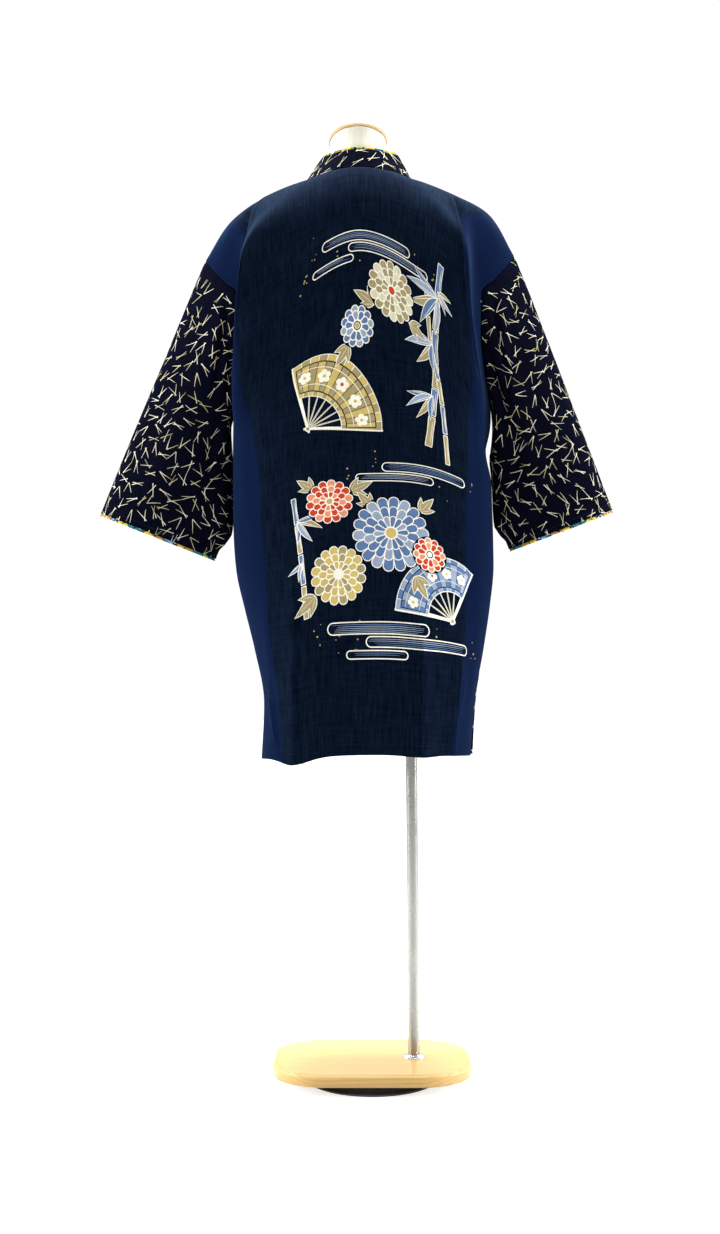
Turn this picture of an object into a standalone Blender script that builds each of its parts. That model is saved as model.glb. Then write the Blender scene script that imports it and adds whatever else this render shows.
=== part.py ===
"""Happi coat worn on a limbless dress form with an off-centre pole and a wooden base board.

Metres, +Z up. The coat's back faces +Y, its front -Y, the wearer's left is +X.
The origin is on the floor, under the middle of the board.
"""
import math
from collections import namedtuple

import bmesh
import bpy
import numpy as np
from mathutils import Matrix, Vector

# ---- driving sizes ---------------------------------------------------------------------------
CLOTH = 0.0016            # body and sleeve cloth with its lining, one wall
BAND_CLOTH = 0.0026       # the collar band is folded double
FACING_CLOTH = 0.0011     # contrast cloth inside the cuffs and along the collar
SEAM_GAP = 0.0008         # parting between two panels at a seam
FIT_GAP = 0.0003          # parting between hard pieces that rest on each other
SLEEVE_START_GAP = 0.0011  # the seam's parting, measured along the top fold of a sleeve
LAYER_STEP = 0.0042       # how far each front leaves the common surface where the two overlap,
LAYER_ACROSS = 0.80       # growing over this share of its width from its side seam
LAYER_FROM, LAYER_OVER = 0.02, 0.10   # and over this distance below the shoulder line

COAT_DROP = 0.925         # shoulder line to hem, measured along the cloth
UNDERARM_DROP = 0.290     # shoulder line to the underarm point, along the armhole
NECK_HALF_WIDTH = 0.083
NECK_BACK_DEPTH = 0.070
BAND_WIDTH = 0.055
COLLAR_STAND = 0.043      # height of the band where it stands up behind the neck
COLLAR_LEAN = {"left": 0.33, "right": 0.24}  # share of x by which its edge leans to the neck
COLLAR_BACK_LEAN = 0.24                      # and of y, behind the neck
COLLAR_RISE = {"back": 0.0320, "side": 0.0395}
COLLAR_LIES = 0.17        # distance below the shoulder line at which the band lies flat
LINING_SHOWS, LINING_DEPTH = 0.0020, 0.0140
LINING_END_DROP = 0.160
CUFF_FACING_DEPTH, CUFF_FACING_SHOWS = 0.035, 0.0010
SLIT_LENGTH, SLIT_OPENING = 0.130, 0.010
SLEEVE_SETTLES = 0.45     # share of a sleeve over which the armhole turns into a plain oval

BOARD_LENGTH, BOARD_DEPTH, BOARD_THICK = 0.310, 0.226, 0.0180
BOARD_CORNER = 0.082
BOARD_EDGE, BOARD_LIP_IN, BOARD_LIP_UP = 0.0040, 0.0020, 0.0008
FOOT_RADIUS, FOOT_HEIGHT = 0.103, 0.0165
FOOT_TOP_EDGE, FOOT_LOW_EDGE = 0.0030, 0.0015
POLE_RADIUS, POLE_X = 0.0092, -0.0664
FLANGE_RADIUS, FLANGE_COLLAR, FLANGE_HEIGHT = 0.0188, 0.0125, 0.0040
FLANGE_EDGE, FLANGE_RIM, FLANGE_SLOPE = 0.0010, 0.0008, 0.0024
SCREW_RADIUS, SCREW_LENGTH, SCREW_TURN = 0.0017, 0.0012, math.radians(30)
SCREW_UP = 0.0040         # above the flange
LEAN = math.radians(0.87)       # the form and the coat lean towards +X about the pole's foot
POLE_LEAN = math.radians(0.47)  # the pole itself leans a little less
BOARD_TOP = FOOT_HEIGHT + FIT_GAP + BOARD_THICK
PIVOT = Vector((POLE_X, 0.0, BOARD_TOP))

CREASES = {"left": 0.113, "right": -0.082}  # pressed folds, from the middle of the back
CREASE_RISE, CREASE_WIDTH = 0.0030, 0.010
CREASE_FROM, CREASE_OVER = 0.60, 0.25        # where they start below the shoulder line
HEM_DIPS = {"left": 0.0115, "right": 0.0035}  # how far the hem hangs lower at each of them
HEM_DIP_WIDTH = 0.034

COLOURS = {
    "navy_slub": ((0.012, 0.030, 0.075), 0.85, 0.0),
    "needle_print": ((0.010, 0.012, 0.035), 0.80, 0.0),
    "lining": ((0.60, 0.52, 0.14), 0.75, 0.0),
    "linen": ((0.86, 0.84, 0.74), 0.85, 0.0),
    "pine": ((0.86, 0.66, 0.36), 0.45, 0.0),
    "steel": ((0.60, 0.60, 0.57), 0.30, 1.0),
    "chrome": ((0.75, 0.75, 0.77), 0.12, 1.0),
    "dark_foot": ((0.05, 0.05, 0.05), 0.55, 0.0),
}

# Shares of the cloth that all panels sew along: rows down the coat and ribs along the neck.
ARMHOLE_SHARES = np.array([0, 0.008, 0.03, 0.075, 0.14, 0.23, 0.34, 0.46, 0.59, 0.72, 0.86, 1])
ARMHOLE_DROPS = UNDERARM_DROP * ARMHOLE_SHARES
BODY_DROPS = np.concatenate([ARMHOLE_DROPS, np.linspace(UNDERARM_DROP, COAT_DROP, 13)[1:]])
NECK_TURNS = np.linspace(0.0, 1.0, 6)
FINENESS = 260            # rows and columns of the grid that the coat's surface is read from
FINE_DROPS = np.linspace(0.0, COAT_DROP, FINENESS)

# ---- tables ----------------------------------------------------------------------------------
# The upper coat, one row for each distance below the shoulder line. Each row runs from the middle
# of the back or front (mid) by the side of the neck (neck), the edge of the hanging fold (fold) and
# the valley behind it (valley) to the armhole seam (seam). x is outwards, y away from the middle
# of the body, z up, for the left half. On the right half the fold hangs nearer to the middle, by
# right_in, and the valley guide lies higher, by right_up.
Row = namedtuple("Row", "drop mid neck fold valley seam right_in right_up")
SHOULDER_LINE = Row(0.0, (0, 0, 1.434), (0.080, 0, 1.4225), (0.150, 0, 1.3955), (0.202, 0, 1.360),
                    (0.245, 0, 1.297), 0.0, 0.007)
BACK_ROWS = [
    Row(0.030, (0, 0.030, 1.434), (0.082, 0.030, 1.416), (0.151, 0.030, 1.387),
        (0.199, 0.025, 1.350), (0.232, 0.026, 1.279), 0.002, 0.006),
    Row(0.070, (0, 0.069, 1.426), (0.085, 0.069, 1.400), (0.153, 0.070, 1.355),
        (0.186, 0.051, 1.318), (0.209, 0.050, 1.253), 0.007, 0.003),
    Row(0.120, (0, 0.101, 1.386), (0.089, 0.103, 1.356), (0.174, 0.106, 1.300),
        (0.183, 0.073, 1.262), (0.187, 0.062, 1.228), 0.017, 0.0),
    Row(0.180, (0, 0.117, 1.325), (0.096, 0.119, 1.279), (0.189, 0.112, 1.215),
        (0.186, 0.080, 1.188), (0.186, 0.057, 1.168), 0.025, 0.0),
    Row(0.240, (0, 0.123, 1.262), (0.100, 0.125, 1.211), (0.196, 0.104, 1.140),
        (0.193, 0.071, 1.120), (0.193, 0.035, 1.104), 0.023, 0.0),
    Row(UNDERARM_DROP, (0, 0.125, 1.205), (0.102, 0.126, 1.153), (0.199, 0.094, 1.080),
        (0.200, 0.052, 1.060), (0.204, 0.000, 1.046), 0.017, 0.0),
]
FRONT_ROWS = [
    Row(0.030, (0, 0.030, 1.434), (0.082, 0.030, 1.416), (0.151, 0.030, 1.387),
        (0.199, 0.025, 1.350), (0.232, 0.026, 1.278), 0.0, 0.006),
    Row(0.070, (0, 0.068, 1.424), (0.084, 0.067, 1.399), (0.154, 0.063, 1.354),
        (0.188, 0.048, 1.316), (0.210, 0.048, 1.252), 0.0, 0.003),
    Row(0.120, (0, 0.096, 1.384), (0.088, 0.094, 1.355), (0.168, 0.085, 1.298),
        (0.184, 0.066, 1.261), (0.190, 0.057, 1.227), 0.0, 0.0),
    Row(0.180, (0, 0.112, 1.323), (0.094, 0.110, 1.278), (0.181, 0.098, 1.214),
        (0.187, 0.073, 1.187), (0.189, 0.052, 1.167), 0.0, 0.0),
    Row(0.240, (0, 0.120, 1.260), (0.098, 0.118, 1.210), (0.189, 0.098, 1.140),
        (0.194, 0.065, 1.119), (0.195, 0.032, 1.103), 0.0, 0.0),
    Row(UNDERARM_DROP, (0, 0.123, 1.203), (0.100, 0.121, 1.152), (0.195, 0.090, 1.080),
        (0.200, 0.048, 1.059), (0.204, 0.000, 1.046), 0.0, 0.0),
]

# The hanging body below the armholes: rounded-square rings. lift raises the middle of the row.
Ring = namedtuple("Ring", "drop z left right back_depth front_depth squareness lift")
RINGS = [
    Ring(0.400, 0.975, 0.2045, 0.1930, 0.1255, 0.1230, 3.0, 0.095),
    Ring(0.500, 0.900, 0.2060, 0.2020, 0.1265, 0.1240, 2.8, 0.075),
    Ring(0.610, 0.810, 0.2035, 0.2040, 0.1285, 0.1260, 2.6, 0.065),
    Ring(0.690, 0.745, 0.1905, 0.1975, 0.1310, 0.1290, 2.5, 0.050),
    Ring(0.760, 0.680, 0.1750, 0.1865, 0.1345, 0.1320, 2.5, 0.035),
    Ring(0.840, 0.600, 0.1615, 0.1710, 0.1380, 0.1350, 2.5, 0.020),
    Ring(COAT_DROP, 0.512, 0.1670, 0.1630, 0.1410, 0.1370, 2.4, 0.012),
]
RING_PLACES = (0.0, 0.36, 0.66, 0.84, 1.0)   # mid, neck, fold, valley, seam round a quarter ring

# Sleeves: the hanging tube from the armhole to the cuff, one row for each section.
Section = namedtuple("Section", "share top_x top_z under_x under_z half_thick y")
SLEEVES = {
    "left": [
        Section(0.00, 0.245, 1.297, 0.2060, 1.046, 0.052, 0.000),
        Section(0.12, 0.266, 1.250, 0.2125, 1.018, 0.053, -0.002),
        Section(0.35, 0.306, 1.158, 0.2100, 0.965, 0.053, -0.006),
        Section(0.70, 0.368, 1.018, 0.2135, 0.888, 0.055, -0.010),
        Section(1.00, 0.4175, 0.902, 0.2360, 0.827, 0.058, -0.012),
    ],
    "right": [
        Section(0.00, 0.245, 1.297, 0.2060, 1.046, 0.052, 0.000),
        Section(0.12, 0.264, 1.249, 0.2115, 1.018, 0.053, -0.002),
        Section(0.35, 0.299, 1.156, 0.2045, 0.965, 0.053, -0.006),
        Section(0.70, 0.351, 1.015, 0.2090, 0.893, 0.055, -0.010),
        Section(1.00, 0.395, 0.895, 0.2300, 0.835, 0.058, -0.012),
    ],
}
# Soft troughs in the sleeve cloth: place round the tube (0 top fold, 0.5 underarm, back first),
# width as a share of the way round, depth, and the shares of the length where it starts and ends.
Trough = namedtuple("Trough", "side place width depth start end")
SLEEVE_TROUGHS = [
    Trough("left", 0.36, 0.035, 0.007, 0.02, 0.75),
    Trough("right", 0.35, 0.040, 0.014, 0.00, 0.80),
    Trough("left", 0.63, 0.045, 0.009, 0.02, 0.70),
    Trough("right", 0.66, 0.045, 0.008, 0.02, 0.70),
]
TROUGH_FADE_IN, TROUGH_FADE_OUT = 0.15, 0.30

# Where each front is sewn to the collar band: distance below the shoulder line, and the place
# across the front, 1 at its own side seam, 0 in the middle, negative past it. It starts at the
# side of the neck.
FRONT_EDGE = [(0.060, 0.268), (0.130, 0.215), (0.220, 0.095), (0.320, -0.080),
              (0.450, -0.290), (0.610, -0.510), (0.760, -0.665), (COAT_DROP, -0.765)]

# The dress form: rings from the cut at the hips up to the neck. Those under the shoulders of the
# coat hold it up, so their height comes from the shoulder line.
FormRing = namedtuple("FormRing", "z half_width back_depth front_depth squareness")
FORM_RINGS = [
    FormRing(0.745, 0.138, 0.080, 0.074, 2.3),
    FormRing(0.752, 0.149, 0.088, 0.080, 2.3),
    FormRing(0.800, 0.160, 0.096, 0.086, 2.3),
    FormRing(0.870, 0.165, 0.100, 0.090, 2.3),
    FormRing(0.950, 0.150, 0.086, 0.086, 2.2),
    FormRing(1.030, 0.133, 0.074, 0.084, 2.2),
    FormRing(1.110, 0.143, 0.084, 0.090, 2.2),
    FormRing(1.190, 0.157, 0.092, 0.094, 2.2),
    FormRing(1.260, 0.165, 0.090, 0.086, 2.2),
    FormRing(1.320, 0.168, 0.074, 0.070, 2.3),
    FormRing(1.360, 0.165, 0.058, 0.056, 2.3),
]
SHOULDER_REST = [(0.148, 0.038), (0.132, 0.040), (0.114, 0.040)]   # half width, depth
FORM_UNDER_COAT = 0.0026   # from the coat's outer face down to the form that carries it
SHOULDER_TO_NECK = [(1.4150, 0.086, 0.044), (1.4240, 0.064, 0.044), (1.4420, 0.050, 0.046)]
NECK_TOP_Z, NECK_Y, NECK_TILT = 1.480, -0.003, math.radians(20)
NECK_HALF, NECK_DEPTH = 0.044, 0.046
CAP_THICK, CAP_LIP, CAP_LOW_EDGE, CAP_TOP_EDGE = 0.007, 0.0020, 0.0010, 0.0015


# ---- small maths -----------------------------------------------------------------------------
def smooth_step(t):
    t = np.clip(t, 0.0, 1.0)
    return t * t * (3.0 - 2.0 * t)


def through(knots, values, at):
    """A smooth curve through values at the knots, read at each place in at. It never swings past
    the values on either side of it."""
    knots = np.asarray(knots, float)
    values = np.asarray(values, float).reshape(len(knots), -1)
    at = np.clip(np.atleast_1d(np.asarray(at, float)), knots[0], knots[-1])
    slopes = np.gradient(values, knots, axis=0)
    secants = np.diff(values, axis=0) / np.diff(knots)[:, None]
    before, after = secants[:-1], secants[1:]
    most = np.where(before * after > 0, 3 * np.minimum(np.abs(before), np.abs(after)), 0.0)
    slopes[1:-1] = np.clip(slopes[1:-1], -most, most)
    low = np.clip(np.searchsorted(knots, at, side="right") - 1, 0, len(knots) - 2)
    span = (knots[low + 1] - knots[low])[:, None]
    t = (at - knots[low])[:, None] / span
    return ((2 * t**3 - 3 * t**2 + 1) * values[low] + (t**3 - 2 * t**2 + t) * span * slopes[low]
            + (3 * t**2 - 2 * t**3) * values[low + 1] + (t**3 - t**2) * span * slopes[low + 1])


def squared_ring(angle, half_width, depth, squareness):
    """x and y on a rounded square, for an angle measured from its middle towards its side."""
    power = 2.0 / squareness
    return (half_width * np.sign(np.sin(angle)) * np.abs(np.sin(angle)) ** power,
            depth * np.sign(np.cos(angle)) * np.abs(np.cos(angle)) ** power)


def run_lengths(points):
    """Distance along a line of points, starting at 0."""
    steps = np.linalg.norm(np.diff(points, axis=0), axis=1)
    return np.concatenate([[0.0], np.cumsum(steps)])


def grid_normals(points, around):
    """Unit normals of a grid of points; around says that its last column meets its first."""
    rows = np.gradient(points, axis=0)
    if around:
        columns = (np.roll(points, -1, axis=1) - np.roll(points, 1, axis=1)) / 2
    else:
        columns = np.gradient(points, axis=1)
    normals = np.cross(columns, rows)
    return normals / np.linalg.norm(normals, axis=2, keepdims=True)


# ---- the coat's surface ----------------------------------------------------------------------
def ring_row(ring, face, side):
    """The guide points of one ring, as a Row like those of the upper coat."""
    half_width = ring.left if side == "left" else ring.right
    depth = ring.back_depth if face == "back" else ring.front_depth
    turns = np.linspace(0.0, math.pi / 2, 181)
    x, y = squared_ring(turns, half_width, depth, ring.squareness)
    along = run_lengths(np.stack([x, y], axis=1))
    guides = []
    for place in RING_PLACES:
        gx = np.interp(place * along[-1], along, x)
        gy = np.interp(place * along[-1], along, y)
        guides.append((gx, gy, ring.z + ring.lift * (gy / depth) ** 2))
    return Row(ring.drop, *guides, 0.0, 0.0)


def hung_row(row, side):
    """A row of the upper coat with its fold and valley where they hang on that side."""
    if side == "left":
        return row
    fold = (row.fold[0] - row.right_in, *row.fold[1:])
    x, y, z = row.valley
    valley = (x - row.right_in / 2, y, z + row.right_up)
    return row._replace(fold=fold, valley=valley)


def face_grid(face, side):
    """Points of one half of the back or front, by row down and by share of the way out, with the
    shares at which its neck, fold and valley guides lie in each row."""
    rows = [hung_row(row, side) for row in (BACK_ROWS if face == "back" else FRONT_ROWS)]
    other = FRONT_ROWS if face == "back" else BACK_ROWS
    beyond = hung_row(other[0], side)
    over_the_top = Row(-beyond.drop, *[(x, -y, z) for x, y, z in beyond[1:6]], 0.0, 0.0)
    chain = [over_the_top, hung_row(SHOULDER_LINE, side), *rows,
             *[ring_row(ring, face, side) for ring in RINGS]]
    drops = [row.drop for row in chain]
    guides = [through(drops, [row[g] for row in chain], FINE_DROPS) for g in range(1, 6)]
    shares = np.linspace(0.0, 1.0, FINENESS)
    grid = np.empty((FINENESS, FINENESS, 3))
    guide_shares = np.empty((FINENESS, 3))
    for i in range(FINENESS):
        half = np.array([guide[i] for guide in guides])
        both = np.concatenate([half[:0:-1] * (-1, 1, 1), half])
        along = run_lengths(both)
        along -= along[len(half) - 1]
        evenly = np.linspace(0.0, along[-1], FINENESS)
        line = through(along, both, evenly)
        run = run_lengths(line)
        guide_shares[i] = np.interp(along[len(half):-1], evenly, run) / run[-1]
        for axis in range(3):
            grid[i, :, axis] = np.interp(shares * run[-1], run, line[:, axis])
    if face == "front":
        grid[:, :, 1] *= -1
    if side == "right":
        grid[:, :, 0] *= -1
    return grid, guide_shares


FACES = {(face, side): face_grid(face, side)
         for face in ("back", "front") for side in ("left", "right")}
GRIDS = {half: grid for half, (grid, _) in FACES.items()}
HALF_RUNS = {face: np.linalg.norm(np.diff(GRIDS[face, "left"], axis=1), axis=2).sum(axis=1)
             for face in ("back", "front")}


def half_run(face, drop):
    """Length of cloth from the middle out to the seam, at a distance below the shoulder line."""
    return np.interp(drop, FINE_DROPS, HALF_RUNS[face])


def guide_places(face, side, drop):
    """Places of the neck, fold and valley guides at distances below the shoulder line."""
    shares = FACES[face, side][1]
    return [np.interp(drop, FINE_DROPS, shares[:, guide]) for guide in range(3)]


def read_grid(grid, place, drop):
    """Points between those of a grid, for places from 0 to 1 and drops."""
    last = len(grid) - 1
    row = np.clip(drop / COAT_DROP * last, 0, last - 1e-9)
    column = np.clip(place * last, 0, last - 1e-9)
    i, j = row.astype(int), column.astype(int)
    a, b = (row - i)[..., None], (column - j)[..., None]
    return ((1 - a) * (1 - b) * grid[i, j] + (1 - a) * b * grid[i, j + 1]
            + a * (1 - b) * grid[i + 1, j] + a * b * grid[i + 1, j + 1])


def body_point(face, place, drop):
    """A point on the coat. place is 1 at the left seam, 0 in the middle, -1 at the right seam."""
    place, drop = np.broadcast_arrays(np.asarray(place, float), np.asarray(drop, float))
    left = read_grid(GRIDS[face, "left"], np.abs(place), drop)
    right = read_grid(GRIDS[face, "right"], np.abs(place), drop)
    return np.where((place < 0)[..., None], right, left)


def body_outward(face, place, drop, step=0.004):
    """The unit normal of the coat, pointing out of it."""
    drop = np.clip(drop, step * COAT_DROP, (1 - step) * COAT_DROP)
    place = np.clip(place, step - 1.0, 1.0 - step)
    across = body_point(face, place + step, drop) - body_point(face, place - step, drop)
    down = (body_point(face, place, drop + step * COAT_DROP)
            - body_point(face, place, drop - step * COAT_DROP))
    normal = np.cross(across, down) * (1.0 if face == "back" else -1.0)
    return normal / np.linalg.norm(normal, axis=-1, keepdims=True)


def seam_inset(face, drop):
    """Share of the way across by which a panel stops short of the side seam or the side slit."""
    opening = SLIT_OPENING * smooth_step((drop - COAT_DROP + SLIT_LENGTH) / SLIT_LENGTH) ** 1.5
    return (SEAM_GAP + opening) / 2 / half_run(face, drop)


# ---- panels ----------------------------------------------------------------------------------
def neckline_drop(x):
    """How far below the shoulder line the back neckline lies, at a distance from the middle."""
    share = np.clip(np.abs(x) / NECK_HALF_WIDTH, 0.0, 1.0)
    return NECK_BACK_DEPTH * np.sqrt(1.0 - share**2)


def neckline(turn):
    """Place and drop of the back neckline: turn 0 in the middle, 1 at the side of the neck."""
    x = NECK_HALF_WIDTH * np.sin(turn * math.pi / 2)
    drop = neckline_drop(x)
    return x / half_run("back", drop), drop


NECK_PLACE = float(neckline(1.0)[0])
LEVEL_DROP = 0.20         # below this the rows of the back run level under the neckline


def crease_rise(from_middle, drop):
    """The pressed folds stand out towards the hem and fade upwards."""
    ridges = sum(np.exp(-((from_middle - at) / CREASE_WIDTH) ** 2) for at in CREASES.values())
    return CREASE_RISE * ridges * smooth_step((drop - CREASE_FROM) / CREASE_OVER)


def hem_dip(from_middle, drop):
    """How much lower the cloth hangs at the pressed folds, towards the hem."""
    dips = sum(HEM_DIPS[side] * np.exp(-((from_middle - at) / HEM_DIP_WIDTH) ** 2)
               for side, at in CREASES.items())
    return dips * smooth_step((drop - CREASE_FROM) / (COAT_DROP - CREASE_FROM))


def spread(first, last, count):
    """Columns between two guides, row by row, without the first."""
    return first[:, None] + (last - first)[:, None] * np.linspace(0.0, 1.0, count + 1)[1:]


def back_places(side):
    """Places of the back's columns on one side, row by row. They start along the neckline and the
    shoulder, and farther down they follow the guides."""
    level = smooth_step(BODY_DROPS / LEVEL_DROP)
    neck, fold, valley = guide_places("back", side, BODY_DROPS)
    neck = NECK_PLACE * (1 - level) + neck * level
    shares = neckline(NECK_TURNS)[0] / NECK_PLACE
    shares = shares + (NECK_TURNS - shares) * level[:, None]
    return np.hstack([shares * neck[:, None], spread(neck, fold, 4), spread(fold, valley, 3),
                      spread(valley, np.ones_like(valley), 3)])


def back_points():
    """The back: its columns start at the neckline or the shoulder and run down to the hem."""
    left, right = back_places("left"), -back_places("right")
    places = np.hstack([right[:, :0:-1], left])
    half_starts = np.zeros(left.shape[1])
    half_starts[:len(NECK_TURNS)] = neckline(NECK_TURNS)[1]
    starts = np.concatenate([half_starts[:0:-1], half_starts]) + SEAM_GAP / 2
    drops = BODY_DROPS[:, None] + starts * np.clip(1 - BODY_DROPS / LEVEL_DROP, 0, 1)[:, None]
    across = places - np.sign(places) * seam_inset("back", drops) * (np.abs(places) == 1.0)
    from_middle = places * half_run("back", drops)
    rise = crease_rise(from_middle, drops)
    points = body_point("back", across, drops)
    points = points + body_outward("back", across, drops) * rise[..., None]
    points[..., 2] -= hem_dip(from_middle, drops)
    return points


def front_edge(drop):
    knots, places = zip((0.0, NECK_PLACE), *FRONT_EDGE)
    return through(knots, places, drop)[:, 0]


def front_surface(side, place, drop):
    """A point on a front, its place counted from its own side. The left front leaves the common
    surface outwards and the right one inwards, so that they overlap without touching."""
    mirror = 1.0 if side == "left" else -1.0
    step = (LAYER_STEP * smooth_step((1.0 - place) / LAYER_ACROSS)
            * smooth_step((drop - LAYER_FROM) / LAYER_OVER))
    point = body_point("front", place * mirror, drop)
    return point + body_outward("front", place * mirror, drop) * (step * mirror)[..., None]


def front_points(side):
    """A front: its columns run down beside the collar band, the fold, the valley and the seam."""
    drops = np.maximum(BODY_DROPS, SEAM_GAP / 2)
    start = front_edge(drops) + SEAM_GAP / 2 / half_run("front", drops)
    end = 1.0 - seam_inset("front", drops)
    _, fold, valley = guide_places("front", side, drops)
    places = np.hstack([start[:, None], spread(start, fold, 12), spread(fold, valley, 3),
                        spread(valley, end, 3)])
    return front_surface(side, places, np.broadcast_to(drops[:, None], places.shape))


# ---- sleeves ---------------------------------------------------------------------------------
AROUND = np.concatenate([ARMHOLE_SHARES, 2.0 - ARMHOLE_SHARES[-2:0:-1]]) / 2


def sleeve_tube(side, share):
    """A plain oval section of a sleeve, from its top fold down the back to the underarm and up."""
    rows = SLEEVES[side]
    knots = [row.share for row in rows]
    tx, tz, ux, uz, thick, y = through(knots, [row[1:] for row in rows], share)[0]
    turns = np.linspace(0.0, 2 * math.pi, 361)
    width = math.hypot(tx - ux, tz - uz) / 2
    run = run_lengths(np.stack([width * np.cos(turns), thick * np.sin(turns)], axis=1))
    turn = np.interp(AROUND * run[-1], run, turns)
    out = (np.cos(turn) + 1) / 2
    tube = np.stack([ux + (tx - ux) * out, y + thick * np.sin(turn), uz + (tz - uz) * out], axis=1)
    return tube


def sleeve_loop(side, share):
    """A section of a sleeve, which is the armhole at its start and turns into the plain oval."""
    mirror = 1.0 if side == "left" else -1.0
    back = body_point("back", mirror, ARMHOLE_DROPS) * (mirror, 1, 1)
    front = body_point("front", mirror, ARMHOLE_DROPS[-2:0:-1]) * (mirror, 1, 1)
    armhole = np.concatenate([back, front]) + (SEAM_GAP / 2, 0.0, 0.0)
    fade = 1.0 - smooth_step(share / SLEEVE_SETTLES)
    return sleeve_tube(side, share) + fade * (armhole - sleeve_tube(side, 0.0))


def trough_depth(side, share):
    depth = np.zeros(len(AROUND))
    for trough in SLEEVE_TROUGHS:
        if trough.side == side:
            fade = (smooth_step((share - trough.start) / TROUGH_FADE_IN)
                    * smooth_step((trough.end - share) / TROUGH_FADE_OUT))
            depth += trough.depth * fade * np.exp(-((AROUND - trough.place) / trough.width) ** 2)
    return depth


def sleeve_length(side):
    return run_lengths(np.array([(row.top_x, row.top_z) for row in SLEEVES[side]]))[-1]


def sleeve_points(side, first, last, rows):
    """Rings of a sleeve between two shares of its length."""
    shares = np.linspace(first, last, rows)
    loops = np.array([sleeve_loop(side, share) for share in shares])
    normals = grid_normals(loops, around=True)
    outward = np.sign(np.sum(normals * (loops - loops.mean(axis=1, keepdims=True))))
    depths = np.array([trough_depth(side, share) for share in shares])
    points = loops - normals * outward * depths[..., None]
    if side == "right":
        points[:, :, 0] *= -1
    return points


# ---- collar ----------------------------------------------------------------------------------
def collar_rib(side, place, drop, on_neck, along):
    """Points of one rib of the collar band: along is 0 at its seam and 1 at its free edge. Round
    the neck a rib stands up straight, and down the front it lies on the coat."""
    mirror = 1.0 if side == "left" else -1.0
    along = np.asarray(along)
    if on_neck:
        seam = body_point("back", place * mirror, drop)
        to_side = abs(seam[0]) / NECK_HALF_WIDTH
        height = COLLAR_RISE["back"] + (COLLAR_RISE["side"] - COLLAR_RISE["back"]) * to_side**2
        rise = seam * (-COLLAR_LEAN[side], -COLLAR_BACK_LEAN, 0.0) + (0.0, 0.0, height)
        return seam + rise * along[:, None]
    places = place - along * BAND_WIDTH / half_run("front", drop)
    lying = front_surface(side, places, np.full(len(along), drop))
    seam = front_surface(side, np.array([place]), np.array([drop]))[0]
    rise = np.array([-NECK_HALF_WIDTH * COLLAR_LEAN[side] * mirror, 0.0, COLLAR_RISE["side"]])
    lie = smooth_step(drop / COLLAR_LIES)
    return (1 - lie) * (seam + rise * along[:, None]) + lie * lying


def collar_points(first=0.0, last=1.0, end_drop=COAT_DROP, across=5):
    """The band as ribs from the right end round the neck to the left end. first and last say
    where each rib starts and ends, as shares of its width."""
    along = np.linspace(max(first, SEAM_GAP / 2 / COLLAR_STAND), last, across)
    neck_places, neck_drops = neckline(NECK_TURNS)
    sides = []
    for side in ("right", "left"):
        ribs = [collar_rib(side, place, drop, True, along)
                for place, drop in zip(neck_places, neck_drops)]
        ribs += [collar_rib(side, front_edge(drop)[0], drop, False, along)
                 for drop in BODY_DROPS[1:] if drop <= end_drop + 1e-9]
        sides.append(ribs)
    return np.array(sides[0][:0:-1] + sides[1])


# ---- mesh helpers ----------------------------------------------------------------------------
def finish_material(name):
    colour, roughness, metallic = COLOURS[name]
    material = bpy.data.materials.get(name) or bpy.data.materials.new(name)
    material.use_nodes = True
    shader = material.node_tree.nodes["Principled BSDF"]
    shader.inputs["Base Color"].default_value = (*colour, 1.0)
    shader.inputs["Roughness"].default_value = roughness
    shader.inputs["Metallic"].default_value = metallic
    return material


def add_object(name, mesh, material, parent=None):
    obj = bpy.data.objects.new(name, mesh)
    collection.objects.link(obj)
    mesh.materials.append(finish_material(material))
    obj.parent = parent
    return obj


def sheet_mesh(name, points, around=False):
    """An open surface through a grid of points; around joins the last column to the first."""
    rows, columns = points.shape[:2]
    faces = []
    for i in range(rows - 1):
        for j in range(columns if around else columns - 1):
            k = (j + 1) % columns
            faces.append((i * columns + j, i * columns + k, (i + 1) * columns + k,
                          (i + 1) * columns + j))
    mesh = bpy.data.meshes.new(name)
    mesh.from_pydata(points.reshape(-1, 3).tolist(), [], faces)
    mesh.shade_smooth()
    return mesh


def cloth_piece(name, points, thickness, material, inside, around=False):
    """A sewn piece: a surface given its wall on the side of a point inside the hollow."""
    mesh = sheet_mesh(name, points, around)
    inside = Vector(inside)
    if sum((face.center - inside).dot(face.normal) * face.area for face in mesh.polygons) < 0:
        mesh.flip_normals()
    obj = add_object(name, mesh, material, upper)
    wall = obj.modifiers.new("wall", "SOLIDIFY")
    wall.thickness = thickness
    wall.offset = -1.0
    return obj


def moved_in(points, depth, inside, around=False):
    """A grid of points moved along its normals, towards a point inside the hollow."""
    normals = grid_normals(points, around)
    outward = np.sign(np.sum(normals * (points - np.array(inside))))
    return points - normals * outward * depth


def ring_solid(name, rings, material, parent=None):
    """A closed solid through rings of points, with flat ends."""
    mesh = sheet_mesh(name, np.array(rings), around=True)
    work = bmesh.new()
    work.from_mesh(mesh)
    work.verts.ensure_lookup_table()
    count = len(rings[0])
    work.faces.new([work.verts[i] for i in range(count)])
    work.faces.new([work.verts[len(work.verts) - 1 - i] for i in range(count)])
    bmesh.ops.recalc_face_normals(work, faces=work.faces)
    work.to_mesh(mesh)
    work.free()
    mesh.set_sharp_from_angle(angle=math.radians(40))
    return add_object(name, mesh, material, parent)


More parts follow.
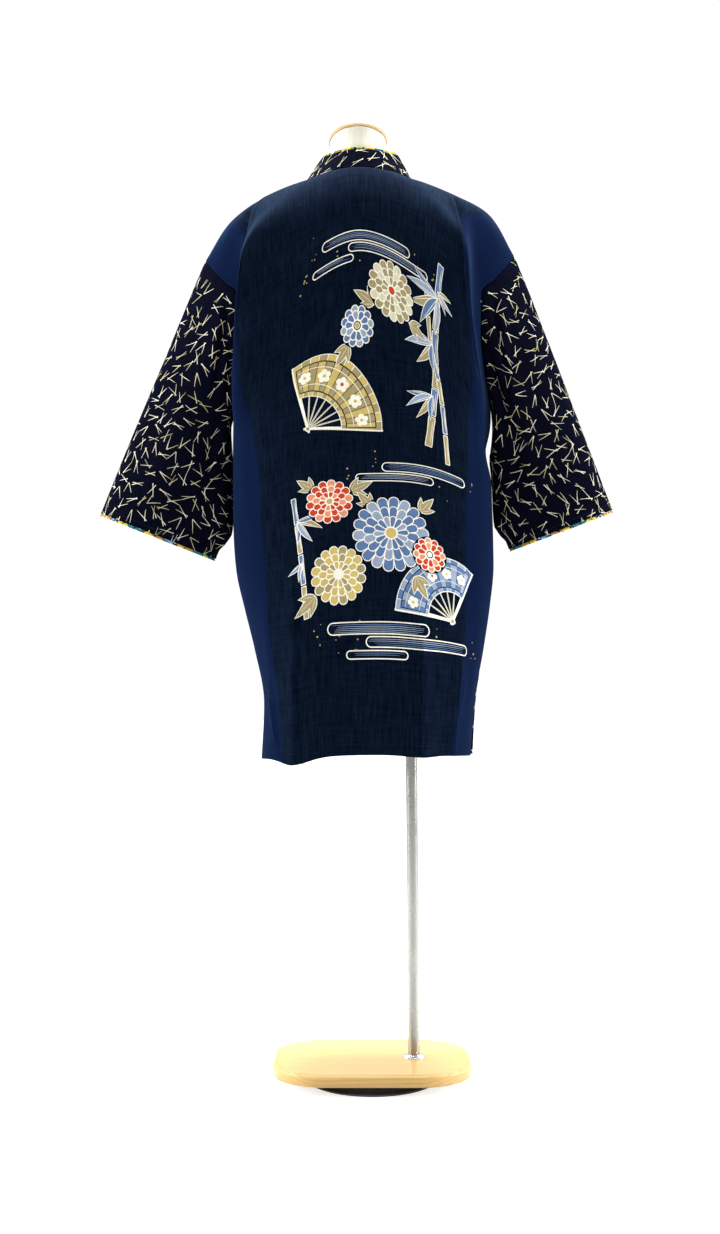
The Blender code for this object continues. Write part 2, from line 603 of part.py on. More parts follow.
def turned(name, profile, material, bored=False, steps=32):
    """A turned solid about Z, from its profile of radius and height, top to bottom. A bored one
    has a profile that closes on itself round the bore."""
    mesh = bpy.data.meshes.new(name)
    edges = [(i, i + 1) for i in range(len(profile) - 1)]
    if bored:
        edges.append((len(profile) - 1, 0))
    mesh.from_pydata([(radius, 0.0, z) for radius, z in profile], edges, [])
    obj = add_object(name, mesh, material)
    screw = obj.modifiers.new("turn", "SCREW")
    screw.steps = screw.render_steps = steps
    screw.use_merge_vertices = True
    screw.merge_threshold = 0.00005
    return obj


def cylinder(name, radius, length, material, parent=None, steps=40):
    """A cylinder about Z, from z = 0 up to its length."""
    mesh = bpy.data.meshes.new(name)
    work = bmesh.new()
    bmesh.ops.create_cone(work, cap_ends=True, segments=steps, radius1=radius, radius2=radius,
                          depth=length)
    bmesh.ops.translate(work, verts=work.verts, vec=(0.0, 0.0, length / 2))
    work.to_mesh(mesh)
    work.free()
    mesh.shade_smooth()
    mesh.set_sharp_from_angle(angle=math.radians(40))
    return add_object(name, mesh, material, parent)


# ---- coat ------------------------------------------------------------------------------------
def make_coat():
    middle = (0.0, 0.0, 1.0)
    cloth_piece("back", back_points(), CLOTH, "navy_slub", middle)
    for side in ("left", "right"):
        cloth_piece(f"front_{side}", front_points(side), CLOTH, "navy_slub", middle)
        length = sleeve_length(side)
        sleeve = sleeve_points(side, SLEEVE_START_GAP / length, 1.0, rows=12)
        inside = sleeve[6].mean(axis=0)
        cloth_piece(f"sleeve_{side}", sleeve, CLOTH, "needle_print", inside, around=True)
        facing = sleeve_points(side, 1.0 - CUFF_FACING_DEPTH / length,
                               1.0 + CUFF_FACING_SHOWS / length, rows=4)
        inside = facing[2].mean(axis=0)
        facing = moved_in(facing, CLOTH + FIT_GAP, inside, around=True)
        cloth_piece(f"cuff_facing_{side}", facing, FACING_CLOTH, "lining", inside, around=True)
    neck = (0.0, 0.0, 1.2)
    cloth_piece("collar_band", collar_points(), BAND_CLOTH, "needle_print", neck)
    lining = collar_points(1.0 - LINING_DEPTH / COLLAR_STAND, 1.0 + LINING_SHOWS / COLLAR_STAND,
                           LINING_END_DROP, across=3)
    lining = moved_in(lining, BAND_CLOTH + 3 * FIT_GAP, neck)
    cloth_piece("collar_lining", lining, FACING_CLOTH, "lining", neck)


# ---- dress form and stand --------------------------------------------------------------------
def shoulder_height(x):
    """Height of the coat's shoulder line at a distance from the middle."""
    line = GRIDS["back", "left"][0]
    return np.interp(x, line[:, 0], line[:, 2])


def form_ring(z, half_width, back_depth, front_depth, squareness, count=36):
    turns = np.linspace(0.0, 2 * math.pi, count, endpoint=False)
    x, back = squared_ring(turns, half_width, back_depth, squareness)
    front = squared_ring(turns, half_width, front_depth, squareness)[1]
    return np.stack([x, np.where(back > 0, back, front), np.full(count, z)], axis=1)


def neck_ring(height, grow=0.0, count=36):
    """An oval across the neck's tilted top, at a height above its plane."""
    turns = np.linspace(0.0, 2 * math.pi, count, endpoint=False)
    tilt = Matrix.Rotation(NECK_TILT, 3, "X")
    middle = Vector((0.0, NECK_Y, NECK_TOP_Z))
    return np.array([middle + tilt @ Vector(((NECK_HALF + grow) * math.sin(turn),
                                             (NECK_DEPTH + grow) * math.cos(turn), height))
                     for turn in turns])


def make_form():
    rings = [form_ring(*ring) for ring in FORM_RINGS]
    for half_width, depth in SHOULDER_REST:
        z = shoulder_height(half_width) - FORM_UNDER_COAT
        rings.append(form_ring(z, half_width, depth, depth, 2.0))
    rings += [form_ring(z, half_width, depth, depth, 2.1)
              for z, half_width, depth in SHOULDER_TO_NECK]
    rings.append(neck_ring(0.0))
    ring_solid("dress_form", rings, "linen", upper)
    profile = [(FIT_GAP, CAP_LIP - CAP_LOW_EDGE), (FIT_GAP + CAP_LOW_EDGE, CAP_LIP),
               (CAP_THICK - CAP_TOP_EDGE, CAP_LIP), (CAP_THICK, CAP_LIP - CAP_TOP_EDGE)]
    ring_solid("neck_cap", [neck_ring(height, lip) for height, lip in profile], "pine", upper)


def make_stand():
    profile = [(0.0, FOOT_HEIGHT), (FOOT_RADIUS - FOOT_TOP_EDGE, FOOT_HEIGHT),
               (FOOT_RADIUS, FOOT_HEIGHT - FOOT_TOP_EDGE), (FOOT_RADIUS, FOOT_LOW_EDGE),
               (FOOT_RADIUS - FOOT_LOW_EDGE, 0.0), (0.0, 0.0)]
    foot = turned("foot_disc", profile, "dark_foot")
    foot.data.shade_smooth()
    make_board()
    bore = POLE_RADIUS + FIT_GAP
    profile = [(bore, FLANGE_HEIGHT), (FLANGE_COLLAR - FLANGE_EDGE, FLANGE_HEIGHT),
               (FLANGE_COLLAR, FLANGE_HEIGHT - FLANGE_EDGE),
               (FLANGE_COLLAR + FLANGE_EDGE, FLANGE_SLOPE),
               (FLANGE_RADIUS - FLANGE_EDGE, 2 * FLANGE_RIM), (FLANGE_RADIUS, FLANGE_RIM),
               (FLANGE_RADIUS, 0.0), (bore, 0.0)]
    flange = turned("flange", profile, "chrome", bored=True)
    flange.location = (POLE_X, 0.0, BOARD_TOP + FIT_GAP)
    foot_of_pole = BOARD_TOP + 2 * FIT_GAP
    pole = cylinder("pole", POLE_RADIUS, FORM_RINGS[0].z - FIT_GAP - foot_of_pole, "steel",
                    pole_frame)
    pole.location = (POLE_X, 0.0, foot_of_pole)
    screw = cylinder("set_screw", SCREW_RADIUS, SCREW_LENGTH, "chrome", pole_frame, steps=12)
    screw.rotation_euler = (-math.pi / 2, 0.0, SCREW_TURN)
    away = POLE_RADIUS + FIT_GAP
    screw.location = (POLE_X - away * math.sin(SCREW_TURN), away * math.cos(SCREW_TURN),
                      BOARD_TOP + FLANGE_HEIGHT + SCREW_UP)


def make_board():
    """A flat outline with round corners, raised, its top set in by a small routed lip."""
    outline = []
    for corner in range(4):
        turn_start = corner * math.pi / 2
        centre_x = (BOARD_LENGTH / 2 - BOARD_CORNER) * (1 if corner in (0, 3) else -1)
        centre_y = (BOARD_DEPTH / 2 - BOARD_CORNER) * (1 if corner in (0, 1) else -1)
        for turn in np.linspace(turn_start, turn_start + math.pi / 2, 10):
            outline.append((centre_x + BOARD_CORNER * math.cos(turn),
                            centre_y + BOARD_CORNER * math.sin(turn)))
    mesh = bpy.data.meshes.new("base_board")
    work = bmesh.new()
    bottom = work.faces.new([work.verts.new((x, y, 0.0)) for x, y in outline])
    raised = bmesh.ops.extrude_face_region(work, geom=[bottom])["geom"]
    bmesh.ops.translate(work, vec=(0.0, 0.0, BOARD_THICK - BOARD_LIP_UP),
                        verts=[part for part in raised if isinstance(part, bmesh.types.BMVert)])
    top = [part for part in raised if isinstance(part, bmesh.types.BMFace)]
    bmesh.ops.bevel(work, geom=top[0].edges[:], offset=BOARD_EDGE, segments=3, profile=0.5,
                    affect="EDGES")
    top = [max(work.faces, key=lambda face: face.calc_center_median().z)]
    bmesh.ops.inset_region(work, faces=top, thickness=BOARD_LIP_IN)
    bmesh.ops.inset_region(work, faces=top, thickness=BOARD_LIP_UP, depth=BOARD_LIP_UP)
    bmesh.ops.recalc_face_normals(work, faces=work.faces)
    work.to_mesh(mesh)
    work.free()
    mesh.shade_smooth()
    mesh.set_sharp_from_angle(angle=math.radians(30))
    board = add_object("base_board", mesh, "pine")
    board.location.z = FOOT_HEIGHT + FIT_GAP
    return board


def leaning_frame(name, lean):
    """An empty that turns what is parented to it about the foot of the pole."""
    frame = bpy.data.objects.new(name, None)
    frame.matrix_world = (Matrix.Translation(PIVOT) @ Matrix.Rotation(lean, 4, "Y")
                          @ Matrix.Translation(-PIVOT))
    collection.objects.link(frame)
    return frame


for left_over in list(bpy.data.objects):
    bpy.data.objects.remove(left_over, do_unlink=True)
collection = bpy.data.collections.new("happi coat on dress form")
bpy.context.scene.collection.children.link(collection)
upper = leaning_frame("upper", LEAN)
pole_frame = leaning_frame("pole_frame", POLE_LEAN)
make_coat()
make_form()
make_stand()
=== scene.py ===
# %% [markdown]
# A happi coat is cut from straight widths of cotton: a back, two fronts, two wide sleeves and one
# long collar band. Here it hangs on a limbless dress form, on an off-centre pole, a wooden board
# and a round foot. The solids of that object are the frame, already in place and in metres, and
# this script dresses them. Every cloth piece follows the same surface as its solid, only finer, so
# nothing has to be fitted by eye.

# %% Load the frame
import math
import random
from collections import namedtuple

import bmesh
import bpy
import numpy as np
from mathutils import Matrix, Vector
from mathutils.geometry import delaunay_2d_cdt


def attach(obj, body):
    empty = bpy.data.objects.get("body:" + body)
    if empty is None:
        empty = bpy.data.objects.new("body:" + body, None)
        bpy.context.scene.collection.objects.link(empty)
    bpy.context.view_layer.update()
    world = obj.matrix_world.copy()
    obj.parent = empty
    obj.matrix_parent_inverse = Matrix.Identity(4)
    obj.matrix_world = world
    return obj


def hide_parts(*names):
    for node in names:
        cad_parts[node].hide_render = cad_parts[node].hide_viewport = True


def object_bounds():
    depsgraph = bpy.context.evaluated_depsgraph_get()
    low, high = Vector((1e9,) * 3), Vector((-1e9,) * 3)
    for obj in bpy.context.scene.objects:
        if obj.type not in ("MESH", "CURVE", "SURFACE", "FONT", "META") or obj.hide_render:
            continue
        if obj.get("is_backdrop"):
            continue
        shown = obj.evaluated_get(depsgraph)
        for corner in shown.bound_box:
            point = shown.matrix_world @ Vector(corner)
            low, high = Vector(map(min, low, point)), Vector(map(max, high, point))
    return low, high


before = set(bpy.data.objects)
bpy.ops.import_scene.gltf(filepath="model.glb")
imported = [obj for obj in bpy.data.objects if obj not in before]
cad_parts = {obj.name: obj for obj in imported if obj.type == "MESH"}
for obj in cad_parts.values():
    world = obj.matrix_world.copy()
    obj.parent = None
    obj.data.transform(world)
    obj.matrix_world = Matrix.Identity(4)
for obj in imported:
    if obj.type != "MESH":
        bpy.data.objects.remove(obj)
solid_box = [list(corner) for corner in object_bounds()]
print("solids:", ", ".join(sorted(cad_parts)))

# %% [markdown]
# The camera stands level behind the coat, at half its height, as a fitting-room mirror would show
# the back. A long lens keeps the sleeves from spreading. It comes first, so that every piece can be
# looked at as soon as it is made.

# %% Camera
CAMERA_PLACE = (0.019, 2.6, 0.73)
FOCAL_PIXELS, IMAGE_HEIGHT, SENSOR = 1643.0, 1234, 36.0
camera_data = bpy.data.cameras.new("camera")
camera_data.sensor_width = SENSOR
camera_data.lens = FOCAL_PIXELS * SENSOR / IMAGE_HEIGHT
camera = bpy.data.objects.new("camera", camera_data)
camera.location = CAMERA_PLACE
camera.rotation_euler = (math.pi / 2, 0.0, math.pi)
bpy.context.scene.collection.objects.link(camera)
bpy.context.scene.camera = camera
print("lens", round(camera_data.lens, 1), "mm")

# %% [markdown]
# The driving sizes are those of the cut: how long the coat is, how deep the armhole, how wide the
# band. They repeat the sizes of the solids, because a seam on this cloth has to lie where the seam
# of the solid lies. Only the parting at the seams is closed up, as stitches would close it.

# %% Driving sizes
SIDES = {"left": 1.0, "right": -1.0}         # the wearer's sides, and the sign of x there
CLOTH = 0.0016            # body and sleeve cloth with its lining, one wall
BAND_CLOTH = 0.0026       # the collar band is folded double
FACING_CLOTH = 0.0011     # contrast cloth inside the cuffs and along the collar
SEAM_GAP = 0.0002         # sewn panels all but touch
FIT_GAP = 0.0003          # parting between hard pieces that rest on each other
SLEEVE_START_GAP = 0.0004
LAYER_STEP = 0.0042       # how far each front leaves the common surface where the two overlap,
LAYER_ACROSS = 0.80       # growing over this share of its width from its side seam
LAYER_FROM, LAYER_OVER = 0.02, 0.10          # and over this distance below the shoulder line
COAT_DROP, UNDERARM_DROP = 0.925, 0.290      # from the shoulder line down the cloth
NECK_HALF_WIDTH, NECK_BACK_DEPTH = 0.083, 0.070
BAND_WIDTH, COLLAR_STAND = 0.055, 0.043      # flat, and as it stands up behind the neck
COLLAR_LEAN = {"left": 0.33, "right": 0.24}  # share of x by which its edge leans to the neck
COLLAR_BACK_LEAN = 0.24                      # and of y, behind the neck
COLLAR_RISE_BACK, COLLAR_RISE_SIDE = 0.032, 0.0395
COLLAR_LIES = 0.17        # distance below the shoulder line at which the band lies flat
LINING_DEPTH, LINING_END_DROP, CUFF_FACING_DEPTH = 0.014, 0.16, 0.035
SLIT_LENGTH, SLIT_OPENING, SLIT_FADE = 0.13, 0.01, 0.02
SLEEVE_SETTLES = 0.45     # share of a sleeve over which the armhole turns into a plain oval
CREASES = {"left": 0.113, "right": -0.082}   # pressed folds, from the middle of the back
CREASE_RISE, CREASE_WIDTH = 0.003, 0.010
CREASE_FROM, CREASE_OVER = 0.60, 0.25        # where they start below the shoulder line
HEM_DIPS = {"left": 0.0115, "right": 0.0035} # how far the hem hangs lower at each of them
HEM_DIP_WIDTH = 0.034
LEAN, POLE_LEAN = math.radians(0.87), math.radians(0.47)   # towards the left
POLE_X, FOOT_HEIGHT, BOARD_THICK = -0.0664, 0.0165, 0.018
BOARD_TOP = FOOT_HEIGHT + FIT_GAP + BOARD_THICK
PIVOT = Vector((POLE_X, 0.0, BOARD_TOP))     # the pole's foot, about which it all leans
ARMHOLE_SHARES = np.linspace(0.0, 1.0, 121)
ARMHOLE_DROPS = UNDERARM_DROP * ARMHOLE_SHARES
FINENESS = 400            # rows and columns of the grid that the coat's surface is read from
FINE_DROPS = np.linspace(0.0, COAT_DROP, FINENESS)
print("coat", COAT_DROP, "m long, armhole", UNDERARM_DROP, "m deep")

# %% [markdown]
# The coat's hang is set by a few guide rows, each at its own distance below the shoulder line. A
# row runs from the middle by the side of the neck, the edge of the hanging fold and the valley
# behind it to the armhole seam, each as x, y outwards and z. On the right the fold hangs nearer to
# the middle by right_in, and the valley lies higher by right_up. Below the armholes the coat is a
# tube, so rounded-square rings are enough.

# %% Guide rows and rings
Row = namedtuple("Row", "drop mid neck fold valley seam right_in right_up", defaults=(0.0, 0.0))
SHOULDER_LINE = Row(0, (0, 0, 1.434), (0.08, 0, 1.4225), (0.15, 0, 1.3955), (0.202, 0, 1.36),
                    (0.245, 0, 1.297), 0, 0.007)
GUIDE_ROWS = {
    "back": [
        Row(0.03, (0, 0.03, 1.434), (0.082, 0.03, 1.416), (0.151, 0.03, 1.387),
            (0.199, 0.025, 1.35), (0.232, 0.026, 1.279), 0.002, 0.006),
        Row(0.07, (0, 0.069, 1.426), (0.085, 0.069, 1.4), (0.153, 0.07, 1.355),
            (0.186, 0.051, 1.318), (0.209, 0.05, 1.253), 0.007, 0.003),
        Row(0.12, (0, 0.101, 1.386), (0.089, 0.103, 1.356), (0.174, 0.106, 1.3),
            (0.183, 0.073, 1.262), (0.187, 0.062, 1.228), 0.017),
        Row(0.18, (0, 0.117, 1.325), (0.096, 0.119, 1.279), (0.189, 0.112, 1.215),
            (0.186, 0.08, 1.188), (0.186, 0.057, 1.168), 0.025),
        Row(0.24, (0, 0.123, 1.262), (0.1, 0.125, 1.211), (0.196, 0.104, 1.14),
            (0.193, 0.071, 1.12), (0.193, 0.035, 1.104), 0.023),
        Row(UNDERARM_DROP, (0, 0.125, 1.205), (0.102, 0.126, 1.153), (0.199, 0.094, 1.08),
            (0.2, 0.052, 1.06), (0.204, 0, 1.046), 0.017)],
    "front": [
        Row(0.03, (0, 0.03, 1.434), (0.082, 0.03, 1.416), (0.151, 0.03, 1.387),
            (0.199, 0.025, 1.35), (0.232, 0.026, 1.278), 0, 0.006),
        Row(0.07, (0, 0.068, 1.424), (0.084, 0.067, 1.399), (0.154, 0.063, 1.354),
            (0.188, 0.048, 1.316), (0.21, 0.048, 1.252), 0, 0.003),
        Row(0.12, (0, 0.096, 1.384), (0.088, 0.094, 1.355), (0.168, 0.085, 1.298),
            (0.184, 0.066, 1.261), (0.19, 0.057, 1.227)),
        Row(0.18, (0, 0.112, 1.323), (0.094, 0.11, 1.278), (0.181, 0.098, 1.214),
            (0.187, 0.073, 1.187), (0.189, 0.052, 1.167)),
        Row(0.24, (0, 0.12, 1.26), (0.098, 0.118, 1.21), (0.189, 0.098, 1.14),
            (0.194, 0.065, 1.119), (0.195, 0.032, 1.103)),
        Row(UNDERARM_DROP, (0, 0.123, 1.203), (0.1, 0.121, 1.152), (0.195, 0.09, 1.08),
            (0.2, 0.048, 1.059), (0.204, 0, 1.046))]}
Ring = namedtuple("Ring", "drop z left right back_depth front_depth squareness lift")
RINGS = [
    Ring(0.40, 0.975, 0.2045, 0.1930, 0.1255, 0.123, 3.0, 0.095),
    Ring(0.50, 0.900, 0.2060, 0.2020, 0.1265, 0.124, 2.8, 0.075),
    Ring(0.61, 0.810, 0.2035, 0.2040, 0.1285, 0.126, 2.6, 0.065),
    Ring(0.69, 0.745, 0.1905, 0.1975, 0.1310, 0.129, 2.5, 0.050),
    Ring(0.76, 0.680, 0.1750, 0.1865, 0.1345, 0.132, 2.5, 0.035),
    Ring(0.84, 0.600, 0.1615, 0.1710, 0.1380, 0.135, 2.5, 0.020),
    Ring(COAT_DROP, 0.512, 0.167, 0.163, 0.141, 0.137, 2.4, 0.012)]
RING_PLACES = (0.0, 0.36, 0.66, 0.84, 1.0)   # mid, neck, fold, valley, seam round a quarter ring
# Where each front's free edge lies across it: drop, place.
FRONT_EDGE = [(0.06, 0.268), (0.13, 0.215), (0.22, 0.095), (0.32, -0.08), (0.45, -0.29),
              (0.61, -0.51), (0.76, -0.665), (COAT_DROP, -0.765)]
print(sum(len(rows) for rows in GUIDE_ROWS.values()), "guide rows,", len(RINGS), "rings")

# %% [markdown]
# A smooth curve through few guides is what turns them into cloth. An ordinary spline swings past
# its points, which on cloth looks like a dent beside every fold. Limiting the slopes at each guide
# keeps the curve between its neighbours, so a fold stays crisp and the cloth beside it stays flat.

# %% Small maths
def smooth_step(t):
    t = np.clip(t, 0.0, 1.0)
    return t * t * (3.0 - 2.0 * t)


def bell(distance, width):
    """1 on a line, falling away softly on both sides of it."""
    return np.exp(-(distance / width) ** 2)


def through(knots, values, at):
    """A smooth curve through values at the knots, read at each place in at."""
    knots = np.asarray(knots, float)
    values = np.asarray(values, float).reshape(len(knots), -1)
    at = np.clip(np.atleast_1d(np.asarray(at, float)), knots[0], knots[-1])
    slopes = np.gradient(values, knots, axis=0)
    secants = np.diff(values, axis=0) / np.diff(knots)[:, None]
    before, after = secants[:-1], secants[1:]
    most = np.where(before * after > 0, 3 * np.minimum(np.abs(before), np.abs(after)), 0.0)
    slopes[1:-1] = np.clip(slopes[1:-1], -most, most)
    low = np.clip(np.searchsorted(knots, at, side="right") - 1, 0, len(knots) - 2)
    span = (knots[low + 1] - knots[low])[:, None]
    t = (at - knots[low])[:, None] / span
    return ((2 * t**3 - 3 * t**2 + 1) * values[low] + (t**3 - 2 * t**2 + t) * span * slopes[low]
            + (3 * t**2 - 2 * t**3) * values[low + 1] + (t**3 - t**2) * span * slopes[low + 1])


def squared_ring(angle, half_width, depth, squareness):
    """x and y on a rounded square, for an angle measured from its middle towards its side."""
    sine, cosine = np.sin(angle), np.cos(angle)
    power = 2.0 / squareness
    return (half_width * np.sign(sine) * np.abs(sine) ** power,
            depth * np.sign(cosine) * np.abs(cosine) ** power)


def run_lengths(points):
    """Distance along a line of points, starting at 0."""
    steps = np.linalg.norm(np.diff(points, axis=0), axis=1)
    return np.concatenate([[0.0], np.cumsum(steps)])


def unit(vectors):
    return vectors / np.linalg.norm(vectors, axis=-1, keepdims=True)


def outward_normals(points, inside, around=False):
    """Unit normals of a grid of points, away from inside; around joins its last column to its
    first."""
    rows = np.gradient(points, axis=0)
    if around:
        columns = (np.roll(points, -1, axis=1) - np.roll(points, 1, axis=1)) / 2
    else:
        columns = np.gradient(points, axis=1)
    normals = unit(np.cross(columns, rows))
    return normals * np.sign(np.sum(normals * (points - np.array(inside))))


def between(grid, row, column):
    """Points between those of a grid, at fractions of its rows and columns."""
    row = np.clip(row, 0, len(grid) - 1 - 1e-9)
    column = np.clip(column, 0, grid.shape[1] - 1 - 1e-9)
    i, j = row.astype(int), column.astype(int)
    a, b = (row - i)[..., None], (column - j)[..., None]
    return ((1 - a) * (1 - b) * grid[i, j] + (1 - a) * b * grid[i, j + 1]
            + a * (1 - b) * grid[i + 1, j] + a * b * grid[i + 1, j + 1])


print("halfway up a smooth step:", float(smooth_step(0.5)))

# %% [markdown]
# The surface is read at a place across and a drop below the shoulder: place 1 is the left seam, 0
# the middle, -1 the right seam. With cloth measured this way, a straight printed line on the flat
# panel becomes the right curve on the hanging coat.

# %% The coat's surface
def ring_row(ring, face, side):
    """The guide points of one ring, as a Row like those of the upper coat."""
    depth = getattr(ring, f"{face}_depth")
    ring_line = squared_ring(np.linspace(0.0, math.pi / 2, 181), getattr(ring, side), depth,
                             ring.squareness)
    along = run_lengths(np.stack(ring_line, axis=1))
    guides = []
    for place in RING_PLACES:
        x, y = (np.interp(place * along[-1], along, line) for line in ring_line)
        guides.append((x, y, ring.z + ring.lift * (y / depth) ** 2))
    return Row(ring.drop, *guides)


def hung_row(row, side):
    """A row of the upper coat with its fold and valley where they hang on that side."""
    if side == "left":
        return row
    fold = (row.fold[0] - row.right_in, *row.fold[1:])
    x, y, z = row.valley
    return row._replace(fold=fold, valley=(x - row.right_in / 2, y, z + row.right_up))


def face_grid(face, side):
    """Points of one half of the back or front, by row down and by share of the way out, with the
    shares at which its neck, fold and valley guides lie in each row."""
    beyond = hung_row(GUIDE_ROWS["front" if face == "back" else "back"][0], side)
    chain = [Row(-beyond.drop, *[(x, -y, z) for x, y, z in beyond[1:6]]),
             *[hung_row(row, side) for row in (SHOULDER_LINE, *GUIDE_ROWS[face])],
             *[ring_row(ring, face, side) for ring in RINGS]]
    drops = [row.drop for row in chain]
    guides = [through(drops, [row[g] for row in chain], FINE_DROPS) for g in range(1, 6)]
    shares = np.linspace(0.0, 1.0, FINENESS)
    grid, guide_shares = np.empty((FINENESS, FINENESS, 3)), np.empty((FINENESS, 3))
    for i in range(FINENESS):
        half = np.array([guide[i] for guide in guides])
        both = np.concatenate([half[:0:-1] * (-1, 1, 1), half])
        along = run_lengths(both)
        along -= along[len(half) - 1]
        evenly = np.linspace(0.0, along[-1], FINENESS)
        line = through(along, both, evenly)
        run = run_lengths(line)
        guide_shares[i] = np.interp(along[len(half):-1], evenly, run) / run[-1]
        grid[i] = np.stack([np.interp(shares * run[-1], run, axis) for axis in line.T], axis=1)
    return grid * (SIDES[side], 1.0 if face == "back" else -1.0, 1.0), guide_shares


FACES = {(face, side): face_grid(face, side) for face in GUIDE_ROWS for side in SIDES}
HALF_RUNS = {face: np.linalg.norm(np.diff(FACES[face, "left"][0], axis=1), axis=2).sum(axis=1)
             for face in GUIDE_ROWS}


def half_run(face, drop):
    """Length of cloth from the middle out to the seam, at a distance below the shoulder line."""
    return np.interp(drop, FINE_DROPS, HALF_RUNS[face])


def body_point(face, place, drop):
    """A point on the coat. place is 1 at the left seam, 0 in the middle, -1 at the right seam."""
    place, drop = np.broadcast_arrays(np.asarray(place, float), np.asarray(drop, float))
    row, column = drop / COAT_DROP * (FINENESS - 1), np.abs(place) * (FINENESS - 1)
    left, right = (between(FACES[face, side][0], row, column) for side in SIDES)
    return np.where((place < 0)[..., None], right, left)


def body_outward(face, place, drop, step=0.004):
    """The unit normal of the coat, pointing out of it."""
    drop = np.clip(drop, step * COAT_DROP, (1 - step) * COAT_DROP)
    place = np.clip(place, step - 1.0, 1.0 - step)
    across = body_point(face, place + step, drop) - body_point(face, place - step, drop)
    down = (body_point(face, place, drop + step * COAT_DROP)
            - body_point(face, place, drop - step * COAT_DROP))
    return unit(np.cross(across, down) * (1.0 if face == "back" else -1.0))


print("half the back at the hem:", round(float(half_run("back", COAT_DROP)), 3), "m")

# %% [markdown]
# Some lines of the cut are needed again and again: how far the side slit opens, where the neckline
# runs, and where each front ends. Pressed folds stand out from the back and pull its hem down.
# Where the fronts overlap, the left one leaves the common surface outwards and the right one
# inwards.

# %% Lines of the cut
def seam_inset(face, drop):
    """Share of the way across by which a panel stops short of the side seam or the side slit."""
    opening = SLIT_OPENING * smooth_step((drop - COAT_DROP + SLIT_LENGTH) / SLIT_LENGTH) ** 1.5
    return (SEAM_GAP + opening) / 2 / half_run(face, drop)


def neckline(turn):
    """Place and drop of the back neckline: turn 0 in the middle, 1 at the side of the neck."""
    x = NECK_HALF_WIDTH * np.sin(turn * math.pi / 2)
    share = np.clip(np.abs(x) / NECK_HALF_WIDTH, 0.0, 1.0)
    drop = NECK_BACK_DEPTH * np.sqrt(1.0 - share**2)
    return x / half_run("back", drop), drop


def crease_rise(from_middle, drop):
    """The pressed folds stand out towards the hem and fade upwards."""
    ridges = sum(bell(from_middle - at, CREASE_WIDTH) for at in CREASES.values())
    return CREASE_RISE * ridges * smooth_step((drop - CREASE_FROM) / CREASE_OVER)


def hem_dip(from_middle, drop):
    """How much lower the cloth hangs at the pressed folds, towards the hem."""
    dips = sum(HEM_DIPS[side] * bell(from_middle - at, HEM_DIP_WIDTH)
               for side, at in CREASES.items())
    return dips * smooth_step((drop - CREASE_FROM) / (COAT_DROP - CREASE_FROM))


NECK_PLACE = float(neckline(1.0)[0])
EDGE_DROPS_DOWN, EDGE_PLACES = zip((0.0, NECK_PLACE), *FRONT_EDGE)


def front_edge(drop):
    return through(EDGE_DROPS_DOWN, EDGE_PLACES, drop)[:, 0]


def front_surface(side, place, drop):
    """A point on a front, its place counted from its own side."""
    mirror = SIDES[side]
    step = (LAYER_STEP * smooth_step((1.0 - place) / LAYER_ACROSS)
            * smooth_step((drop - LAYER_FROM) / LAYER_OVER))
    point = body_point("front", place * mirror, drop)
    return point + body_outward("front", place * mirror, drop) * (step * mirror)[..., None]


print("the fronts end at", EDGE_PLACES[-1], "of their width at the hem")

# %% [markdown]
# The form and the coat lean a little on their pole, as such stands do. Every point is worked out
# upright, where left and right are easy to compare, and leant over as the last step, so the
# finished pieces need no object transform.

# %% Leaning
lean_turn, pole_turn = (np.array(Matrix.Rotation(turn, 3, "Y")) for turn in (LEAN, POLE_LEAN))


def leant(points, turn=lean_turn):
    """Points turned about the foot of the pole."""
    return (np.asarray(points) - PIVOT) @ turn.T + PIVOT


print("coat leans", round(math.degrees(LEAN), 2), "degrees")
